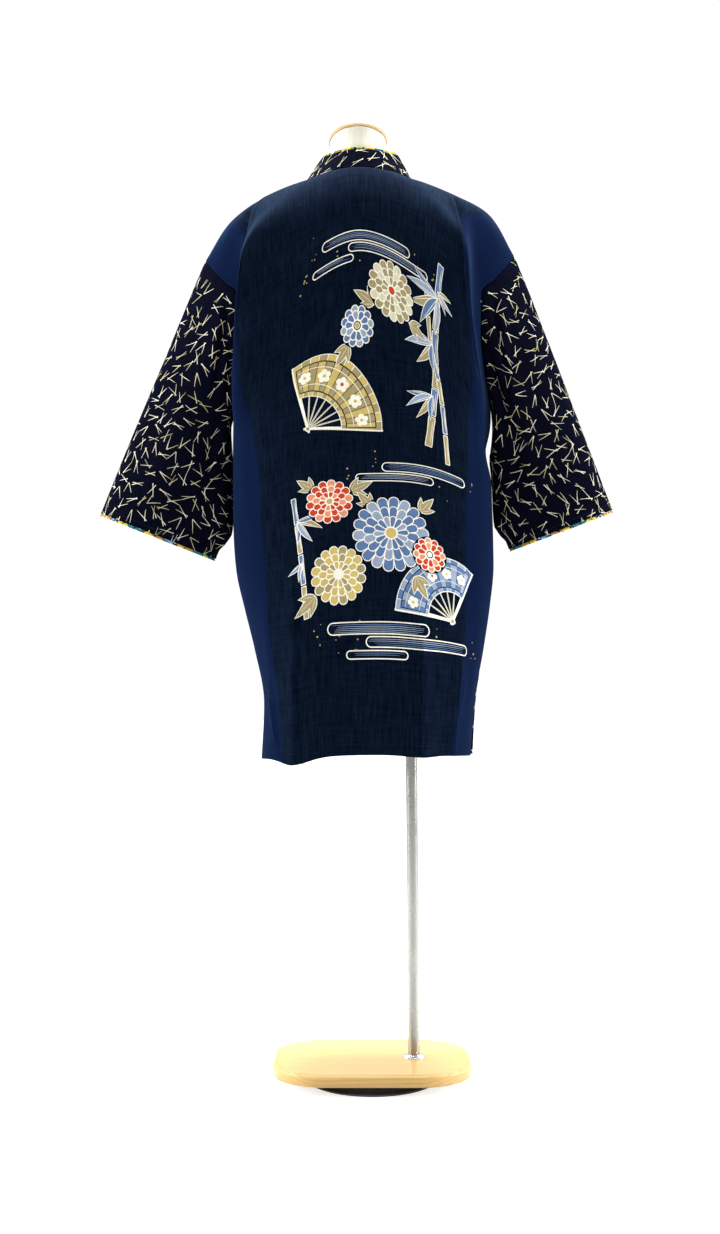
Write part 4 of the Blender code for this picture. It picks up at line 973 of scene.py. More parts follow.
def collar_rib(side, place, drop, on_neck, along):
    """Points of one rib of the collar band: along is 0 at its seam and 1 at its free edge. Round
    the neck a rib stands up straight, and down the front it lies on the coat."""
    mirror, lean = SIDES[side], COLLAR_LEAN[side]
    if on_neck:
        seam = body_point("back", place * mirror, drop)
        to_side = abs(seam[0]) / NECK_HALF_WIDTH
        height = COLLAR_RISE_BACK + (COLLAR_RISE_SIDE - COLLAR_RISE_BACK) * to_side**2
        rise = seam * (-lean, -COLLAR_BACK_LEAN, 0.0) + (0.0, 0.0, height)
        return seam + rise * along[:, None]
    places = place - along * BAND_WIDTH / half_run("front", drop)
    lying = front_surface(side, places, np.full(len(along), drop))
    seam = front_surface(side, np.array([place]), np.array([drop]))[0]
    rise = np.array([-NECK_HALF_WIDTH * lean * mirror, 0.0, COLLAR_RISE_SIDE])
    lie = smooth_step(drop / COLLAR_LIES)
    return (1 - lie) * (seam + rise * along[:, None]) + lie * lying


def collar_grid(first=0.0, last=1.0, end_drop=COAT_DROP, across=9):
    """Ribs from the right end round the neck to the left end."""
    along = np.linspace(max(first, SEAM_GAP / 2 / COLLAR_STAND), last, across)
    left, right = ([*[collar_rib(side, *neckline(turn), True, along) for turn in NECK_RIBS],
                    *[collar_rib(side, front_edge(drop)[0], drop, False, along)
                      for drop in BAND_DROPS if drop <= end_drop + 1e-9]] for side in SIDES)
    return np.array(right[:0:-1] + left)


band_grid = collar_grid()
band_normals = outward_normals(band_grid, INSIDE_BAND)
band_runs = run_lengths(band_grid[:, 0])
BAND_LENGTH = float(band_runs[-1])


def band_surface(across, drop):
    """Places flat points of the band: across from its middle line, drop along it."""
    row = np.interp(drop, band_runs, np.arange(len(band_runs)))
    share = 0.5 + across / BAND_WIDTH
    column = share * (band_grid.shape[1] - 1)
    rise = (BAND_SWELL * np.sin(np.clip(share, 0, 1) * math.pi)
            - BAND_SEAM_ROLL * bell(share * BAND_WIDTH, BAND_SEAM_WIDTH)
            - BAND_FOLD_ROLL * bell((1.0 - share) * BAND_WIDTH, BAND_FOLD_WIDTH))
    return leant(between(band_grid, row, column)
                 + between(band_normals, row, column) * rise[..., None])


def strip_outline(width, length, step=0.006):
    """The cut edge of a straight strip."""
    drops = np.linspace(0.0, length, int(length / step) + 1)
    ends = np.linspace(-width / 2, width / 2, int(width / step) + 1)[1:-1]
    return [*[(width / 2, drop) for drop in drops], *[(u, length) for u in ends[::-1]],
            *[(-width / 2, drop) for drop in drops[::-1]], *[(u, 0.0) for u in ends]]


def strip_net(width, length):
    """Points inside a straight strip, with rows along its edges."""
    rows = [*EDGE_ROWS, *np.arange(FIRST_ROW, length - 0.009, NET_STEP), *(length - EDGE_ROWS)]
    inner = np.linspace(FIRST_ROW - width / 2, width / 2 - FIRST_ROW, int(width / NET_STEP))
    columns = [*inner, *(width / 2 - EDGE_ROWS), *(EDGE_ROWS - width / 2)]
    return [(u, drop) for drop in rows for u in columns]


print("band", round(BAND_LENGTH, 3), "m long")

# %% [markdown]
# Facings and the lining of the collar are plain strips just inside the outer cloth. A regular grid
# of faces does for them, moved inwards by the thickness of the cloth that covers them, except where
# it turns over the edge that it finishes.

# %% Grid pieces
TURN_OVER, TURN_LENGTH, TURN_SHARE = 0.0036, 0.030, 0.85
FACING_ROWS, FACING_MIDDLE = 22, 12


def squares(rows, columns, around):
    """The faces of a grid, each as four corners of (row, column)."""
    return [((i, j), (i, j + 1), (i + 1, j + 1), (i + 1, j))
            for i in range(rows - 1) for j in range(columns if around else columns - 1)]


def grid_piece(name, points, inside, around=False):
    """A walled strip of contrast cloth through a grid of points, its UV map in metres."""
    rows, columns = points.shape[:2]
    down = run_lengths(points.mean(axis=1))
    across = run_lengths(np.concatenate([points[0], points[:1, 0]]) if around else points[0])
    corners = squares(rows, columns, around)
    mesh = bpy.data.meshes.new(name)
    mesh.from_pydata(leant(points).reshape(-1, 3).tolist(), [],
                     [[i * columns + j % columns for i, j in square] for square in corners])
    mesh.uv_layers.new(name="flat").data.foreach_set(
        "uv", [value for square in corners for i, j in square for value in (across[j], down[i])])
    return walled(name, mesh, inside, [facing_cloth, facing_cloth], FACING_CLOTH)


def turned_over(points, depth, inside, around=False):
    """Moves a facing inwards, except where it turns over the edge that it finishes."""
    inner = points - outward_normals(points, inside, around) * depth
    share = np.linspace(0.0, 1.0, points.shape[0 if around else 1])
    start = 1.0 - TURN_OVER / TURN_LENGTH
    turn = smooth_step((share - start) / (1.0 - start))[..., None]
    turn = turn[:, None] if around else turn[None]
    return inner + (points - inner) * turn * TURN_SHARE


def cuff_facing_points(side):
    points = sleeve_points(side, 1.0 - CUFF_FACING_DEPTH / SLEEVE_LENGTHS[side], 1.0, FACING_ROWS)
    ahead = unit((points[-1] - points[-3]) / 2) * (TURN_OVER / 3)
    points = np.concatenate([points, [points[-1] + ahead * k for k in (1, 2, 3)]])
    return turned_over(points, CLOTH + FIT_GAP, points[FACING_MIDDLE].mean(axis=0), around=True)


def collar_lining_points():
    points = collar_grid(1.0 - LINING_DEPTH / COLLAR_STAND, 1.0 + TURN_OVER / COLLAR_STAND,
                         LINING_END_DROP, across=17)
    return turned_over(points, BAND_CLOTH + 3 * FIT_GAP, INSIDE_BAND)


print("facing", cuff_facing_points("left").shape, "points")

# %% [markdown]
# The sleeves and the band carry the old pattern called matsuba, fallen pine needles: pairs joined
# at their base, strewn in every direction. On resist-dyed cotton such needles keep the cream of the
# bare cloth, with a blunt base and fine tips, and no two pairs are quite alike. A seeded scatter
# that drops whatever falls too near keeps them even, as a stencil does, without lining them up.

# %% Pine needle pairs
NEEDLES_APART, NEEDLE_LENGTH, NEEDLE_TRIES = 0.0158, 0.0196, 9000
NEEDLE_BASE, NEEDLE_TIP, NEEDLE_BOW = 0.00058, 0.00024, 0.0006      # half widths, bow either way
CROSSINGS = (0.16, 0.22, 0.28, 0.34, 0.48, -0.02)     # where a pair crosses, in shares of a needle


def needle(middle, heading, length, bow):
    """One needle as a thin, slightly bowed outline, about its middle."""
    t = np.array([0.0, 0.35, 0.75, 1.0])
    ahead = np.array([math.cos(heading), math.sin(heading)])
    aside = np.array([-ahead[1], ahead[0]])
    spine = middle + np.outer(length * (t - 0.5), ahead)
    spine += np.outer(bow * np.sin(t * math.pi), aside)
    half = np.outer(NEEDLE_BASE + (NEEDLE_TIP - NEEDLE_BASE) * t, aside)
    return np.concatenate([spine + half, (spine - half)[::-1]])


def even_places(pick, half_width, length, surface, apart):
    """Flat places strewn evenly over the hanging cloth: one too near to another is dropped."""
    flat = np.array([(pick.uniform(-half_width, half_width), pick.uniform(-0.01, length + 0.01))
                     for _ in range(NEEDLE_TRIES)])
    hung = surface(flat[:, 0], flat[:, 1])
    kept = []
    for k in range(NEEDLE_TRIES):
        near = np.linalg.norm(hung[kept] - hung[k], axis=1) < apart
        near &= np.linalg.norm(flat[kept] - flat[k], axis=1) < 4 * apart
        if not near.any():
            kept.append(k)
    return flat[kept]


def true_size(flat, surface, step=0.002):
    """For each place, what turns lengths on the hanging cloth into lengths on the flat cloth, so
    that a needle keeps its size where the cloth is drawn out of square."""
    here, across, down = (surface(flat[:, 0] + x, flat[:, 1] + y)
                          for x, y in ((0.0, 0.0), (step, 0.0), (0.0, step)))
    spans = np.stack([across - here, down - here], axis=-1) / step
    sizes, turns = np.linalg.eigh(np.swapaxes(spans, 1, 2) @ spans)
    return turns @ (np.clip(sizes, 0.5, 6.0)[..., None] ** -0.5 * np.swapaxes(turns, 1, 2))


def needle_scatter(seed, half_width, length, surface, scale=1.0):
    """Pairs of needles over a flat piece. Most pairs cross close to their bases, some cross near
    the middle and a few only meet."""
    pick = random.Random(seed)
    usual = NEEDLE_LENGTH * scale
    places = even_places(pick, half_width, length, surface, NEEDLES_APART * scale)
    shapes = []
    for place, undo in zip(places, true_size(places, surface)):
        heading = pick.uniform(0.0, 2 * math.pi)
        opening = math.radians(pick.uniform(16, 58))
        from_middle = 0.5 - pick.choice(CROSSINGS)
        for turn in (heading - opening / 2, heading + opening / 2):
            size = usual * pick.uniform(0.82, 1.16)
            # A needle runs on from the crossing, and the pair is moved back onto its place.
            middle = [from_middle * (size * part(turn) - usual * part(heading))
                      for part in (math.cos, math.sin)]
            ink = "straw" if pick.random() < 0.25 else "cream"
            drawn = needle(middle, turn, size, pick.uniform(-NEEDLE_BOW, NEEDLE_BOW))
            shapes.append((ink, place + drawn @ undo.T))
    return shapes


needles = {side: needle_scatter(11 + number, sleeve_cuts[side][1].max(), SLEEVE_LENGTHS[side],
                                sleeve_surfaces[side]) for number, side in enumerate(SIDES)}
needles["band"] = needle_scatter(31, BAND_WIDTH / 2, BAND_LENGTH, band_surface, scale=1.15)
print({piece: len(shapes) for piece, shapes in needles.items()}, "needles")

# %% [markdown]
# The middle of the back carries a large resist print. This one is a made-up, general one of festive
# signs that belong to nobody: bamboo, open fans, chrysanthemums and bars of mist. Each is built by
# rule from a few sizes, in shapes laid over each other: first a larger shape in the outline's ink,
# then the same shape a little smaller in its fill, which is also how paste-resist work is layered.

# %% Drawing on the flat back
# Drawings have x to the right as seen from behind, and y down from the shoulder line. Headings and
# angles are in degrees, 0 to the right and 90 upwards.
OUTLINE = 0.0011


def arc(centre, radius, start, end, steps):
    return [(centre[0] + radius * math.cos(turn), centre[1] - radius * math.sin(turn))
            for turn in np.radians(np.linspace(start, end, steps))]


def polar(centre, radius, heading):
    return arc(centre, radius, heading, heading, 1)[0]


def ring_part(centre, inner, outer, start, end, steps):
    return arc(centre, outer, start, end, steps) + arc(centre, inner, end, start, steps)


def disc(centre, radius, steps=16):
    return arc(centre, radius, 0.0, 360.0 * (1 - 1 / steps), steps)


def placed(foot, heading, points):
    """Points given ahead and aside of a foot, turned to a heading."""
    cosine, sine = math.cos(math.radians(heading)), math.sin(math.radians(heading))
    return [(foot[0] + a * cosine + b * sine, foot[1] - a * sine + b * cosine) for a, b in points]


def stroke(line, width, tips=0.35):
    """A brush stroke along a line, narrower at both tips."""
    line = np.array(line)
    run = run_lengths(line)
    at = np.linspace(0.0, run[-1], max(4, int(run[-1] / 0.004)))
    path = through(run, line, at)
    ahead = unit(np.gradient(path, axis=0))
    half = width / 2 * (tips + (1 - tips) * np.sin(at / run[-1] * math.pi) ** 0.6)
    aside = np.stack([-ahead[:, 1], ahead[:, 0]], axis=1) * half[:, None]
    return [*(path + aside), *(path - aside)[::-1]]


def blade(base, heading, length, width, bow=0.0, grow=0.0):
    """A pointed leaf from its base; grow widens it all round."""
    share = np.linspace(0.0, 1.0, 7)
    half = (width / 2 + grow) * np.sin(share ** 0.8 * math.pi)
    along = -grow * 1.6 + share * (length + grow * 3.2)
    bend = bow * np.sin(share * math.pi)
    return placed(base, heading, [*zip(along, bend + half),
                                  *[*zip(along, bend - half)][-2:0:-1]])


def petal(centre, heading, inner, outer, width, grow=0.0):
    """A round-ended petal standing away from the middle of a flower."""
    end = outer - 0.45 * width
    sides = [(inner - grow, width * 0.20 + grow),
             (inner + 0.4 * (outer - inner), width * 0.42 + grow), (end, width * 0.50 + grow)]
    tip = [(end + (0.45 * width + grow) * math.sin(a), (0.5 * width + grow) * math.cos(a))
           for a in np.linspace(0.35, math.pi - 0.35, 5)]
    return placed(centre, heading, [*sides, *tip, *[(a, -b) for a, b in sides[::-1]]])


print("outline", OUTLINE * 1000, "mm wide")

# %% [markdown]
# A bar of mist is a few flat-sided bars with round ends, run together. It is drawn as an outline, a
# dark filling and fine level lines, and a sprinkle of gold flecks drifts off its ends.

# %% Mist
# the left end's x and y, length and height of each bar
MIST = [[(-0.062, 0.196, 0.15, 0.015), (-0.018, 0.213, 0.14, 0.013), (-0.08, 0.228, 0.07, 0.011)],
        [(0.028, 0.52, 0.135, 0.015), (-0.012, 0.537, 0.12, 0.013)],
        [(-0.058, 0.76, 0.15, 0.016), (0, 0.778, 0.16, 0.014), (-0.03, 0.794, 0.09, 0.011)]]


def mist(bars, seed):
    pick = random.Random(seed)
    for ink, grow in (("cream", 0.0004), ("night", -OUTLINE)):
        for x, y, length, height in bars:
            radius = height / 2 + grow
            yield ink, (arc((x + height / 2, y), radius, 90, 270, 9)
                        + arc((x + length - height / 2, y), radius, -90, 90, 9))
    for x, y, length, height in bars:
        for level in np.arange(-height / 2 + 0.0036, height / 2 - 0.0026, 0.0024):
            reach = math.sqrt(max(0.0, (height / 2) ** 2 - level**2)) - 0.0030
            line = [(x + height / 2 - reach + pick.uniform(0.0, 0.012), y + level),
                    (x + length - height / 2 + reach - pick.uniform(0.0, 0.014), y + level)]
            yield pick.choice(["steel_blue", "mist_blue", "mist_blue"]), stroke(line, 0.0009)
        for _ in range(9):
            end = pick.choice([x - 0.004, x + length + 0.004])
            out, down = pick.gauss(0.0, 0.007), pick.gauss(0.0, 0.009)
            if abs(out) > 0.002:
                fleck = (end + math.copysign(abs(out) + 0.003, end - x - 0.01), y + down)
                yield "gold", disc(fleck, pick.uniform(0.0006, 0.0014), 6)


back_shapes = [shape for number, bars in enumerate(MIST) for shape in mist(bars, 41 + number)]
print(len(back_shapes), "shapes of mist")

# %% [markdown]
# Bamboo is drawn stalk by stalk: short lengths a little narrower in the middle, with a ring at each
# joint and one long highlight. Its leaves hang in sprays of pointed blades.

# %% Bamboo
# x and y of the foot and of the top, width, joints
STALKS = [(0.101, 0.48, 0.15, 0.178, 0.0125, 6), (0.133, 0.5, 0.118, 0.215, 0.0085, 6),
          (-0.088, 0.742, -0.108, 0.56, 0.0085, 4)]
# x, y, heading, spread, leaves, size
SPRAYS = [(0.141, 0.232, 205, 110, 5, 0.062), (0.125, 0.3, 215, 95, 4, 0.056),
          (0.143, 0.222, 330, 60, 3, 0.032), (0.112, 0.395, 222, 80, 4, 0.05),
          (-0.102, 0.6, 320, 100, 4, 0.042), (-0.096, 0.665, 235, 50, 2, 0.03)]
# share of a length of stalk, how much narrower it is there, and which way the outline's inset runs
STALK_PROFILE = ((0.0, 0.10, 1), (0.08, 0.0, 0), (0.5, 0.0, 0), (0.92, 0.0, 0), (1.0, 0.10, -1))


def stalk(x, y, top_x, top_y, width, joints):
    foot, top = np.array([x, y]), np.array([top_x, top_y])
    ahead = unit(top - foot)
    aside = np.array([-ahead[1], ahead[0]])
    for k in range(joints):
        low = foot + (top - foot) * (k / joints) + ahead * 0.0009
        high = foot + (top - foot) * ((k + 1) / joints) - ahead * 0.0009
        for ink, grow in (("cream", 0.0), (("khaki", "steel_blue")[k % 2], -OUTLINE)):
            left, right = [], []
            for t, cut, end in STALK_PROFILE:
                spine = low + (high - low) * t - ahead * grow * end
                half = width / 2 * (1.0 - 0.16 * math.sin(t * math.pi) - cut) + grow
                left.append(spine + aside * half)
                right.append(spine - aside * half)
            yield ink, left + right[::-1]
        shine = aside * width * 0.17
        yield "straw", stroke([low + ahead * 0.005 + shine, high - ahead * 0.006 + shine], 0.0016,
                              0.1)


def spray(x, y, heading, spread, leaves, size):
    for k in range(leaves):
        share = k / max(1, leaves - 1)
        turn = heading + spread * (share - 0.5)
        length = size * (0.72 + 0.28 * math.sin((share + 0.15) * math.pi / 1.3))
        width, bow = length * 0.19, length * 0.05 * (1 if k % 2 else -1)
        yield "cream", blade((x, y), turn, length, width, bow, OUTLINE)
        yield ("steel_blue", "mist_blue", "khaki")[k % 3], blade((x, y), turn, length, width, bow)
        yield "cream", stroke([(x, y), polar((x, y), length * 0.8, turn)], 0.0008, 0.2)


back_shapes += [shape for row in STALKS for shape in stalk(*row)]
back_shapes += [shape for row in SPRAYS for shape in spray(*row)]
print(len(STALKS), "stalks,", len(SPRAYS), "sprays of leaves")

# %% [markdown]
# A folding fan is a sheet of paper on a bundle of ribs. Opened, it is part of a ring, pleated
# between the ribs, so every second pleat takes a darker ink. A border, a row of small blossoms and
# the rivet at its pivot finish it.

# %% Fans
# x and y of the pivot, radius, start, end, pleats, light, dark and border ink
FANS = [(-0.083, 0.452, 0.112, -4, 104, 14, "khaki", "ochre", "cream"),
        (0.132, 0.742, 0.088, 62, 176, 12, "steel_blue", "mist_blue", "straw")]
BLOSSOMS, BLOSSOM_PETALS = 5, 5


def fan(x, y, radius, start, end, pleats, light, dark, border):
    pivot, inner = (x, y), radius * 0.46
    for turn in np.linspace(start + 3, end - 3, pleats // 2 + 1):
        rib = [polar(pivot, radius * 0.05, turn), polar(pivot, inner, turn)]
        yield "cream", stroke(rib, 0.0021, 0.6)
        yield "khaki", stroke(rib, 0.0009, 0.3)
    for turn in (start, end):
        guard = [polar(pivot, -radius * 0.06, turn), polar(pivot, radius * 1.02, turn)]
        yield "cream", stroke(guard, 0.0046, 0.7)
    yield "cream", ring_part(pivot, inner - OUTLINE, radius + OUTLINE, start, end, 40)
    turns = np.linspace(start, end, pleats + 1)
    folds = list(enumerate(zip(turns[:-1], turns[1:])))
    for k, (one, two) in folds:
        yield (light, dark)[k % 2], ring_part(pivot, inner, radius, one + 0.3, two - 0.3, 5)
    yield "night", ring_part(pivot, inner + radius * 0.055, radius * 0.93, start + 2.0, end - 2.0,
                             36)
    for k, (one, two) in folds:
        yield (dark, light)[k % 2], ring_part(pivot, inner + radius * 0.07, radius * 0.915,
                                              max(one + 0.35, start + 3), min(two - 0.35, end - 3),
                                              5)
    for share in (0.62, 0.85):
        yield border, stroke(arc(pivot, radius * share, start + 4, end - 4, 24), 0.0011, 0.8)
    for k in range(BLOSSOMS):
        turn = start + (end - start) * (k + 0.5) / BLOSSOMS
        middle, size = polar(pivot, radius * 0.735, turn), radius * 0.092
        for number in range(BLOSSOM_PETALS):
            heading = 90 + turn + 360 / BLOSSOM_PETALS * number
            yield "cream", disc(polar(middle, size * 0.58, heading), size * 0.44, 9)
        yield "red_orange" if k == BLOSSOMS // 2 else "ochre", disc(middle, size * 0.26, 7)
    yield "cream", disc(pivot, 0.0046, 12)
    yield "khaki", disc(pivot, 0.0029, 10)


back_shapes += [shape for row in FANS for shape in fan(*row)]
print(len(FANS), "fans")

# %% [markdown]
# A chrysanthemum is two or three rings of round-ended petals about a dotted heart. The rings are
# laid from the outside in, each turned by half a petal, so the gaps are always covered. Its lobed
# leaves are three blades from one foot, with a vein down each.

# %% Chrysanthemums
BLUES, REDS = ("cream", "steel_blue", "mist_blue"), ("cream", "red_orange", "pale_red")
# x, y, radius, petals, rings, the inks of outline, fill and light petals, heart, turn
FLOWERS = [(0.04, 0.628, 0.058, 18, 3, BLUES, "ochre", 4),
           (-0.04, 0.688, 0.042, 16, 3, ("cream", "ochre", "khaki"), "cream", 11),
           (-0.052, 0.575, 0.036, 14, 3, REDS, "gold", 7),
           (0.052, 0.262, 0.04, 16, 3, ("cream", "khaki", "straw"), "red_orange", 2),
           (-0.006, 0.318, 0.026, 12, 2, BLUES, "gold", 9),
           (0.098, 0.655, 0.026, 12, 2, REDS, "cream", 5)]
# x, y, heading, length
FLOWER_LEAVES = [(-0.006, 0.665, 235, 0.04), (0.075, 0.69, 300, 0.034), (-0.075, 0.715, 215, 0.036),
                 (-0.02, 0.56, 25, 0.036), (-0.078, 0.552, 140, 0.03), (0.02, 0.29, 150, 0.034),
                 (0.085, 0.29, 340, 0.03), (-0.02, 0.34, 230, 0.03), (0.086, 0.59, 50, 0.032),
                 (0.01, 0.585, 130, 0.03)]


def flower(x, y, radius, petals, rings, inks, heart, turn):
    centre, (line, fill, light) = (x, y), inks
    yield "night", disc(centre, radius + 0.0016, 28)
    for ring in range(rings):
        outer = radius * (1.0 - 0.27 * ring)
        inner, count = outer * 0.30, petals - 2 * ring
        width = 2 * math.pi * outer / count * 0.80
        for k in range(count):
            heading = turn + 360.0 / count * (k + 0.5 * (ring % 2))
            yield line, petal(centre, heading, inner, outer, width, 0.0003)
            yield light if (ring + k) % 3 == 0 else fill, petal(
                centre, heading, inner + 0.002, outer - OUTLINE, width - 2 * OUTLINE)
    yield line, disc(centre, radius * 0.155, 14)
    yield heart, disc(centre, radius * 0.155 - OUTLINE * 0.8, 12)


def flower_leaf(x, y, heading, length):
    lobes = [(heading + turn, length * size) for turn, size in ((-38, 0.7), (38, 0.7), (0, 1.0))]
    for ink, grow in (("cream", OUTLINE), ("khaki", 0.0)):
        for turn, reach in lobes:
            yield ink, blade((x, y), turn, reach, reach * 0.34, 0.0, grow)
    for turn, reach in lobes:
        yield "straw", stroke([(x, y), polar((x, y), reach * 0.72, turn)], 0.0009, 0.2)


back_shapes += [shape for row in FLOWER_LEAVES for shape in flower_leaf(*row)]
back_shapes += [shape for row in FLOWERS for shape in flower(*row)]
# On the flat back x runs to the wearer's left, so the drawing is turned over.
back_shapes = [(ink, [(-x, y) for x, y in points]) for ink, points in back_shapes]
print(len(back_shapes), "printed shapes on the back,",
      sum(len(points) for _, points in back_shapes), "corners")

# %% [markdown]
# Materials are built from nodes. Three effects are used by more than one material, so each is a
# node group with named inputs: woven threads for every cloth, timber grain for the board and the
# cap, and machining marks for the metal. A few small helpers keep the trees readable.

# %% Node helpers
def join(tree, target, sockets):
    """Sets a node's inputs to values, to outputs of other nodes, or to the first output of one."""
    for key, value in sockets.items():
        if isinstance(value, bpy.types.Node):
            value = value.outputs[0]
        if isinstance(value, bpy.types.NodeSocket):
            tree.links.new(value, target.inputs[key])
        else:
            target.inputs[key].default_value = value


def node(tree, kind, sockets=None, **settings):
    """Adds a node, a shader node unless the kind is a whole name."""
    made = tree.nodes.new(kind if "Node" in kind else "ShaderNode" + kind)
    for key, value in settings.items():
        setattr(made, key, value)
    join(tree, made, sockets or {})
    return made


def tree_of(*values):
    return next(value.id_data for value in values if isinstance(value, bpy.types.NodeSocket))


def maths(operation, *values):
    return node(tree_of(*values), "Math", dict(enumerate(values)), operation=operation).outputs[0]


def tint(factor, one, two, kind="MIX"):
    """A colour mixed from two; the Mix node's colour sockets are its seventh and eighth."""
    one, two = ((*colour, 1.0) if isinstance(colour, tuple) else colour for colour in (one, two))
    return node(tree_of(factor, one, two), "Mix", {0: factor, 6: one, 7: two}, data_type="RGBA",
                blend_type=kind).outputs[2]


def spread(value, low, high, to_low=0.0, to_high=1.0, kind="LINEAR"):
    return node(value.id_data, "MapRange",
                {"Value": value, "From Min": low, "From Max": high, "To Min": to_low,
                 "To Max": to_high}, interpolation_type=kind).outputs["Result"]


def noise(place, scale, detail=2.0, roughness=0.5, output="Fac"):
    return node(place.id_data, "TexNoise", {"Vector": place, "Scale": scale, "Detail": detail,
                                            "Roughness": roughness}).outputs[output]


def parts_of(vector):
    return node(vector.id_data, "SeparateXYZ", {"Vector": vector}).outputs


def ramp(factor, stops, interpolation="LINEAR"):
    made = node(factor.id_data, "ValToRGB", {"Fac": factor})
    made.color_ramp.interpolation = interpolation
    elements = made.color_ramp.elements
    while len(elements) < len(stops):
        elements.new(0.5)
    for element, (position, colour) in zip(elements, stops):
        element.position = position
        element.color = (*colour, 1.0)
    return made.outputs["Color"]


def new_group(name, inputs, outputs):
    """A shader node group. Its inputs are names with values: a number, a vector, or None for a
    vector that is always joined on."""
    group = bpy.data.node_groups.new(name, "ShaderNodeTree")
    for title, value in inputs.items():
        kind = "NodeSocketFloat" if isinstance(value, float) else "NodeSocketVector"
        socket = group.interface.new_socket(title, in_out="INPUT", socket_type=kind)
        if value:
            socket.default_value = value
    for title in outputs:
        group.interface.new_socket(title, in_out="OUTPUT", socket_type="NodeSocketFloat")
    return group, group.nodes.new("NodeGroupInput").outputs, group.nodes.new("NodeGroupOutput")


def use_group(tree, group, **sockets):
    return node(tree, "Group", {key.replace("_", " "): value for key, value in sockets.items()},
                node_tree=group).outputs


def new_material(name, roughness, specular, metallic=0.0, sheen=0.0):
    """A material whose even values are set on the shader's own sockets."""
    material = bpy.data.materials.new(name)
    material.use_nodes = True
    tree = material.node_tree
    shader = tree.nodes["Principled BSDF"]
    join(tree, shader, {"Roughness": roughness, "Specular IOR Level": specular,
                        "Metallic": metallic, "Sheen Weight": sheen, "Sheen Roughness": 0.35,
                        "Sheen Tint": (0.30, 0.55, 1.0, 1.0)})
    return material, tree, shader


def cover(shader, colour, height, strength, distance, roughness=None):
    """Joins a colour, a raised surface and, where it varies, a roughness to a shader."""
    tree = shader.id_data
    bump = node(tree, "Bump", {"Height": height, "Strength": strength, "Distance": distance})
    join(tree, shader, {"Base Color": colour, "Normal": bump})
    if roughness:
        join(tree, shader, {"Roughness": roughness})


def flat_cloth(tree):
    """The cloth's own flat coordinates, in metres."""
    return node(tree, "UVMap", uv_map="flat").outputs["UV"]


def here(tree):
    return node(tree, "TexCoord").outputs["Object"]


def attribute(tree, name):
    return node(tree, "Attribute", attribute_name=name).outputs


print("helpers ready")

# %% [markdown]
# Slub cotton is woven from yarn spun thick and thin. Close up it is a plain weave, and from afar
# the thick lengths of warp and weft make a soft cross-hatch. The weave is a product of two sines a
# thread apart. The cross-hatch is two noises stretched along the threads, one for each direction,
# so every streak is a few centimetres long and a few millimetres from the next.

# %% Woven threads
weave, given, end = new_group(
    "woven_threads", {"Cloth": None, "Thread": 0.0006, "Streak": 0.0024, "Length": 0.045},
    ["Cross Hatch", "Weave"])
cloth = parts_of(given["Cloth"])
thin = maths("DIVIDE", 1.0, given["Streak"])
long = maths("DIVIDE", 1.0, given["Length"])
streaks = []
for across, along, offset, share in (("X", "Y", 3.1, 0.66), ("Y", "X", 17.7, 0.34)):
    place = node(weave, "CombineXYZ", {"X": maths("MULTIPLY", cloth[across], thin),
                                       "Y": maths("MULTIPLY", cloth[along], long), "Z": offset})
    streak = spread(noise(place.outputs[0], 1.0, roughness=0.6), 0.36, 0.66)
    streaks.append(maths("MULTIPLY", streak, share))
turns = maths("DIVIDE", math.pi, given["Thread"])
waves = [maths("SINE", maths("MULTIPLY", cloth[run], turns)) for run in "XY"]
join(weave, end, {"Cross Hatch": maths("ADD", *streaks),
                  "Weave": maths("ABSOLUTE", maths("MULTIPLY", *waves))})
print("woven_threads:", len(weave.nodes), "nodes")

# %% [markdown]
# The back and the fronts are dyed in two tones: a slubby teal-navy middle and a plain royal blue at
# the sides. A little sheen stands for the cotton's fuzz. The border between the tones is soft at
# the shoulders and sharp lower down. How far a point lies beyond that border is worked out on the
# flat cloth and kept with the mesh, and the shader turns it into a mask.

# %% Two-tone body cloth
# drop, distance of the border from the middle on the left and on the right, and its softness
BORDER = np.array([
    (0, 0.214, 0.228, 0.006), (0.03, 0.213, 0.217, 0.006), (0.05, 0.213, 0.195, 0.006),
    (0.07, 0.213, 0.181, 0.0055), (0.09, 0.213, 0.187, 0.005), (0.14, 0.213, 0.199, 0.005),
    (0.18, 0.214, 0.21, 0.007), (0.24, 0.22, 0.216, 0.008), (0.29, 0.221, 0.215, 0.006),
    (0.34, 0.203, 0.199, 0.004), (0.4, 0.183, 0.182, 0.0025), (0.49, 0.168, 0.17, 0.0016),
    (0.6, 0.163, 0.163, 0.0012), (0.75, 0.156, 0.156, 0.0012), (0.83, 0.146, 0.146, 0.0012),
    (COAT_DROP, 0.134, 0.134, 0.0012)])
FURTHEST = 30.0           # in softnesses


def mark_border(mesh, mirror=1.0):
    """Keeps the distance beyond the border, as a share of its softness, with each corner."""
    flat = np.empty(2 * len(mesh.loops))
    mesh.uv_layers["flat"].data.foreach_get("uv", flat)
    across, drop = flat[::2] * mirror, flat[1::2]
    left, right, softness = (np.interp(drop, BORDER[:, 0], BORDER[:, k]) for k in (1, 2, 3))
    share = (np.abs(across) - np.where(across > 0, left, right)) / softness
    border = mesh.attributes.new("border", "FLOAT", "CORNER")
    border.data.foreach_set("value", np.clip(share, -FURTHEST, FURTHEST))


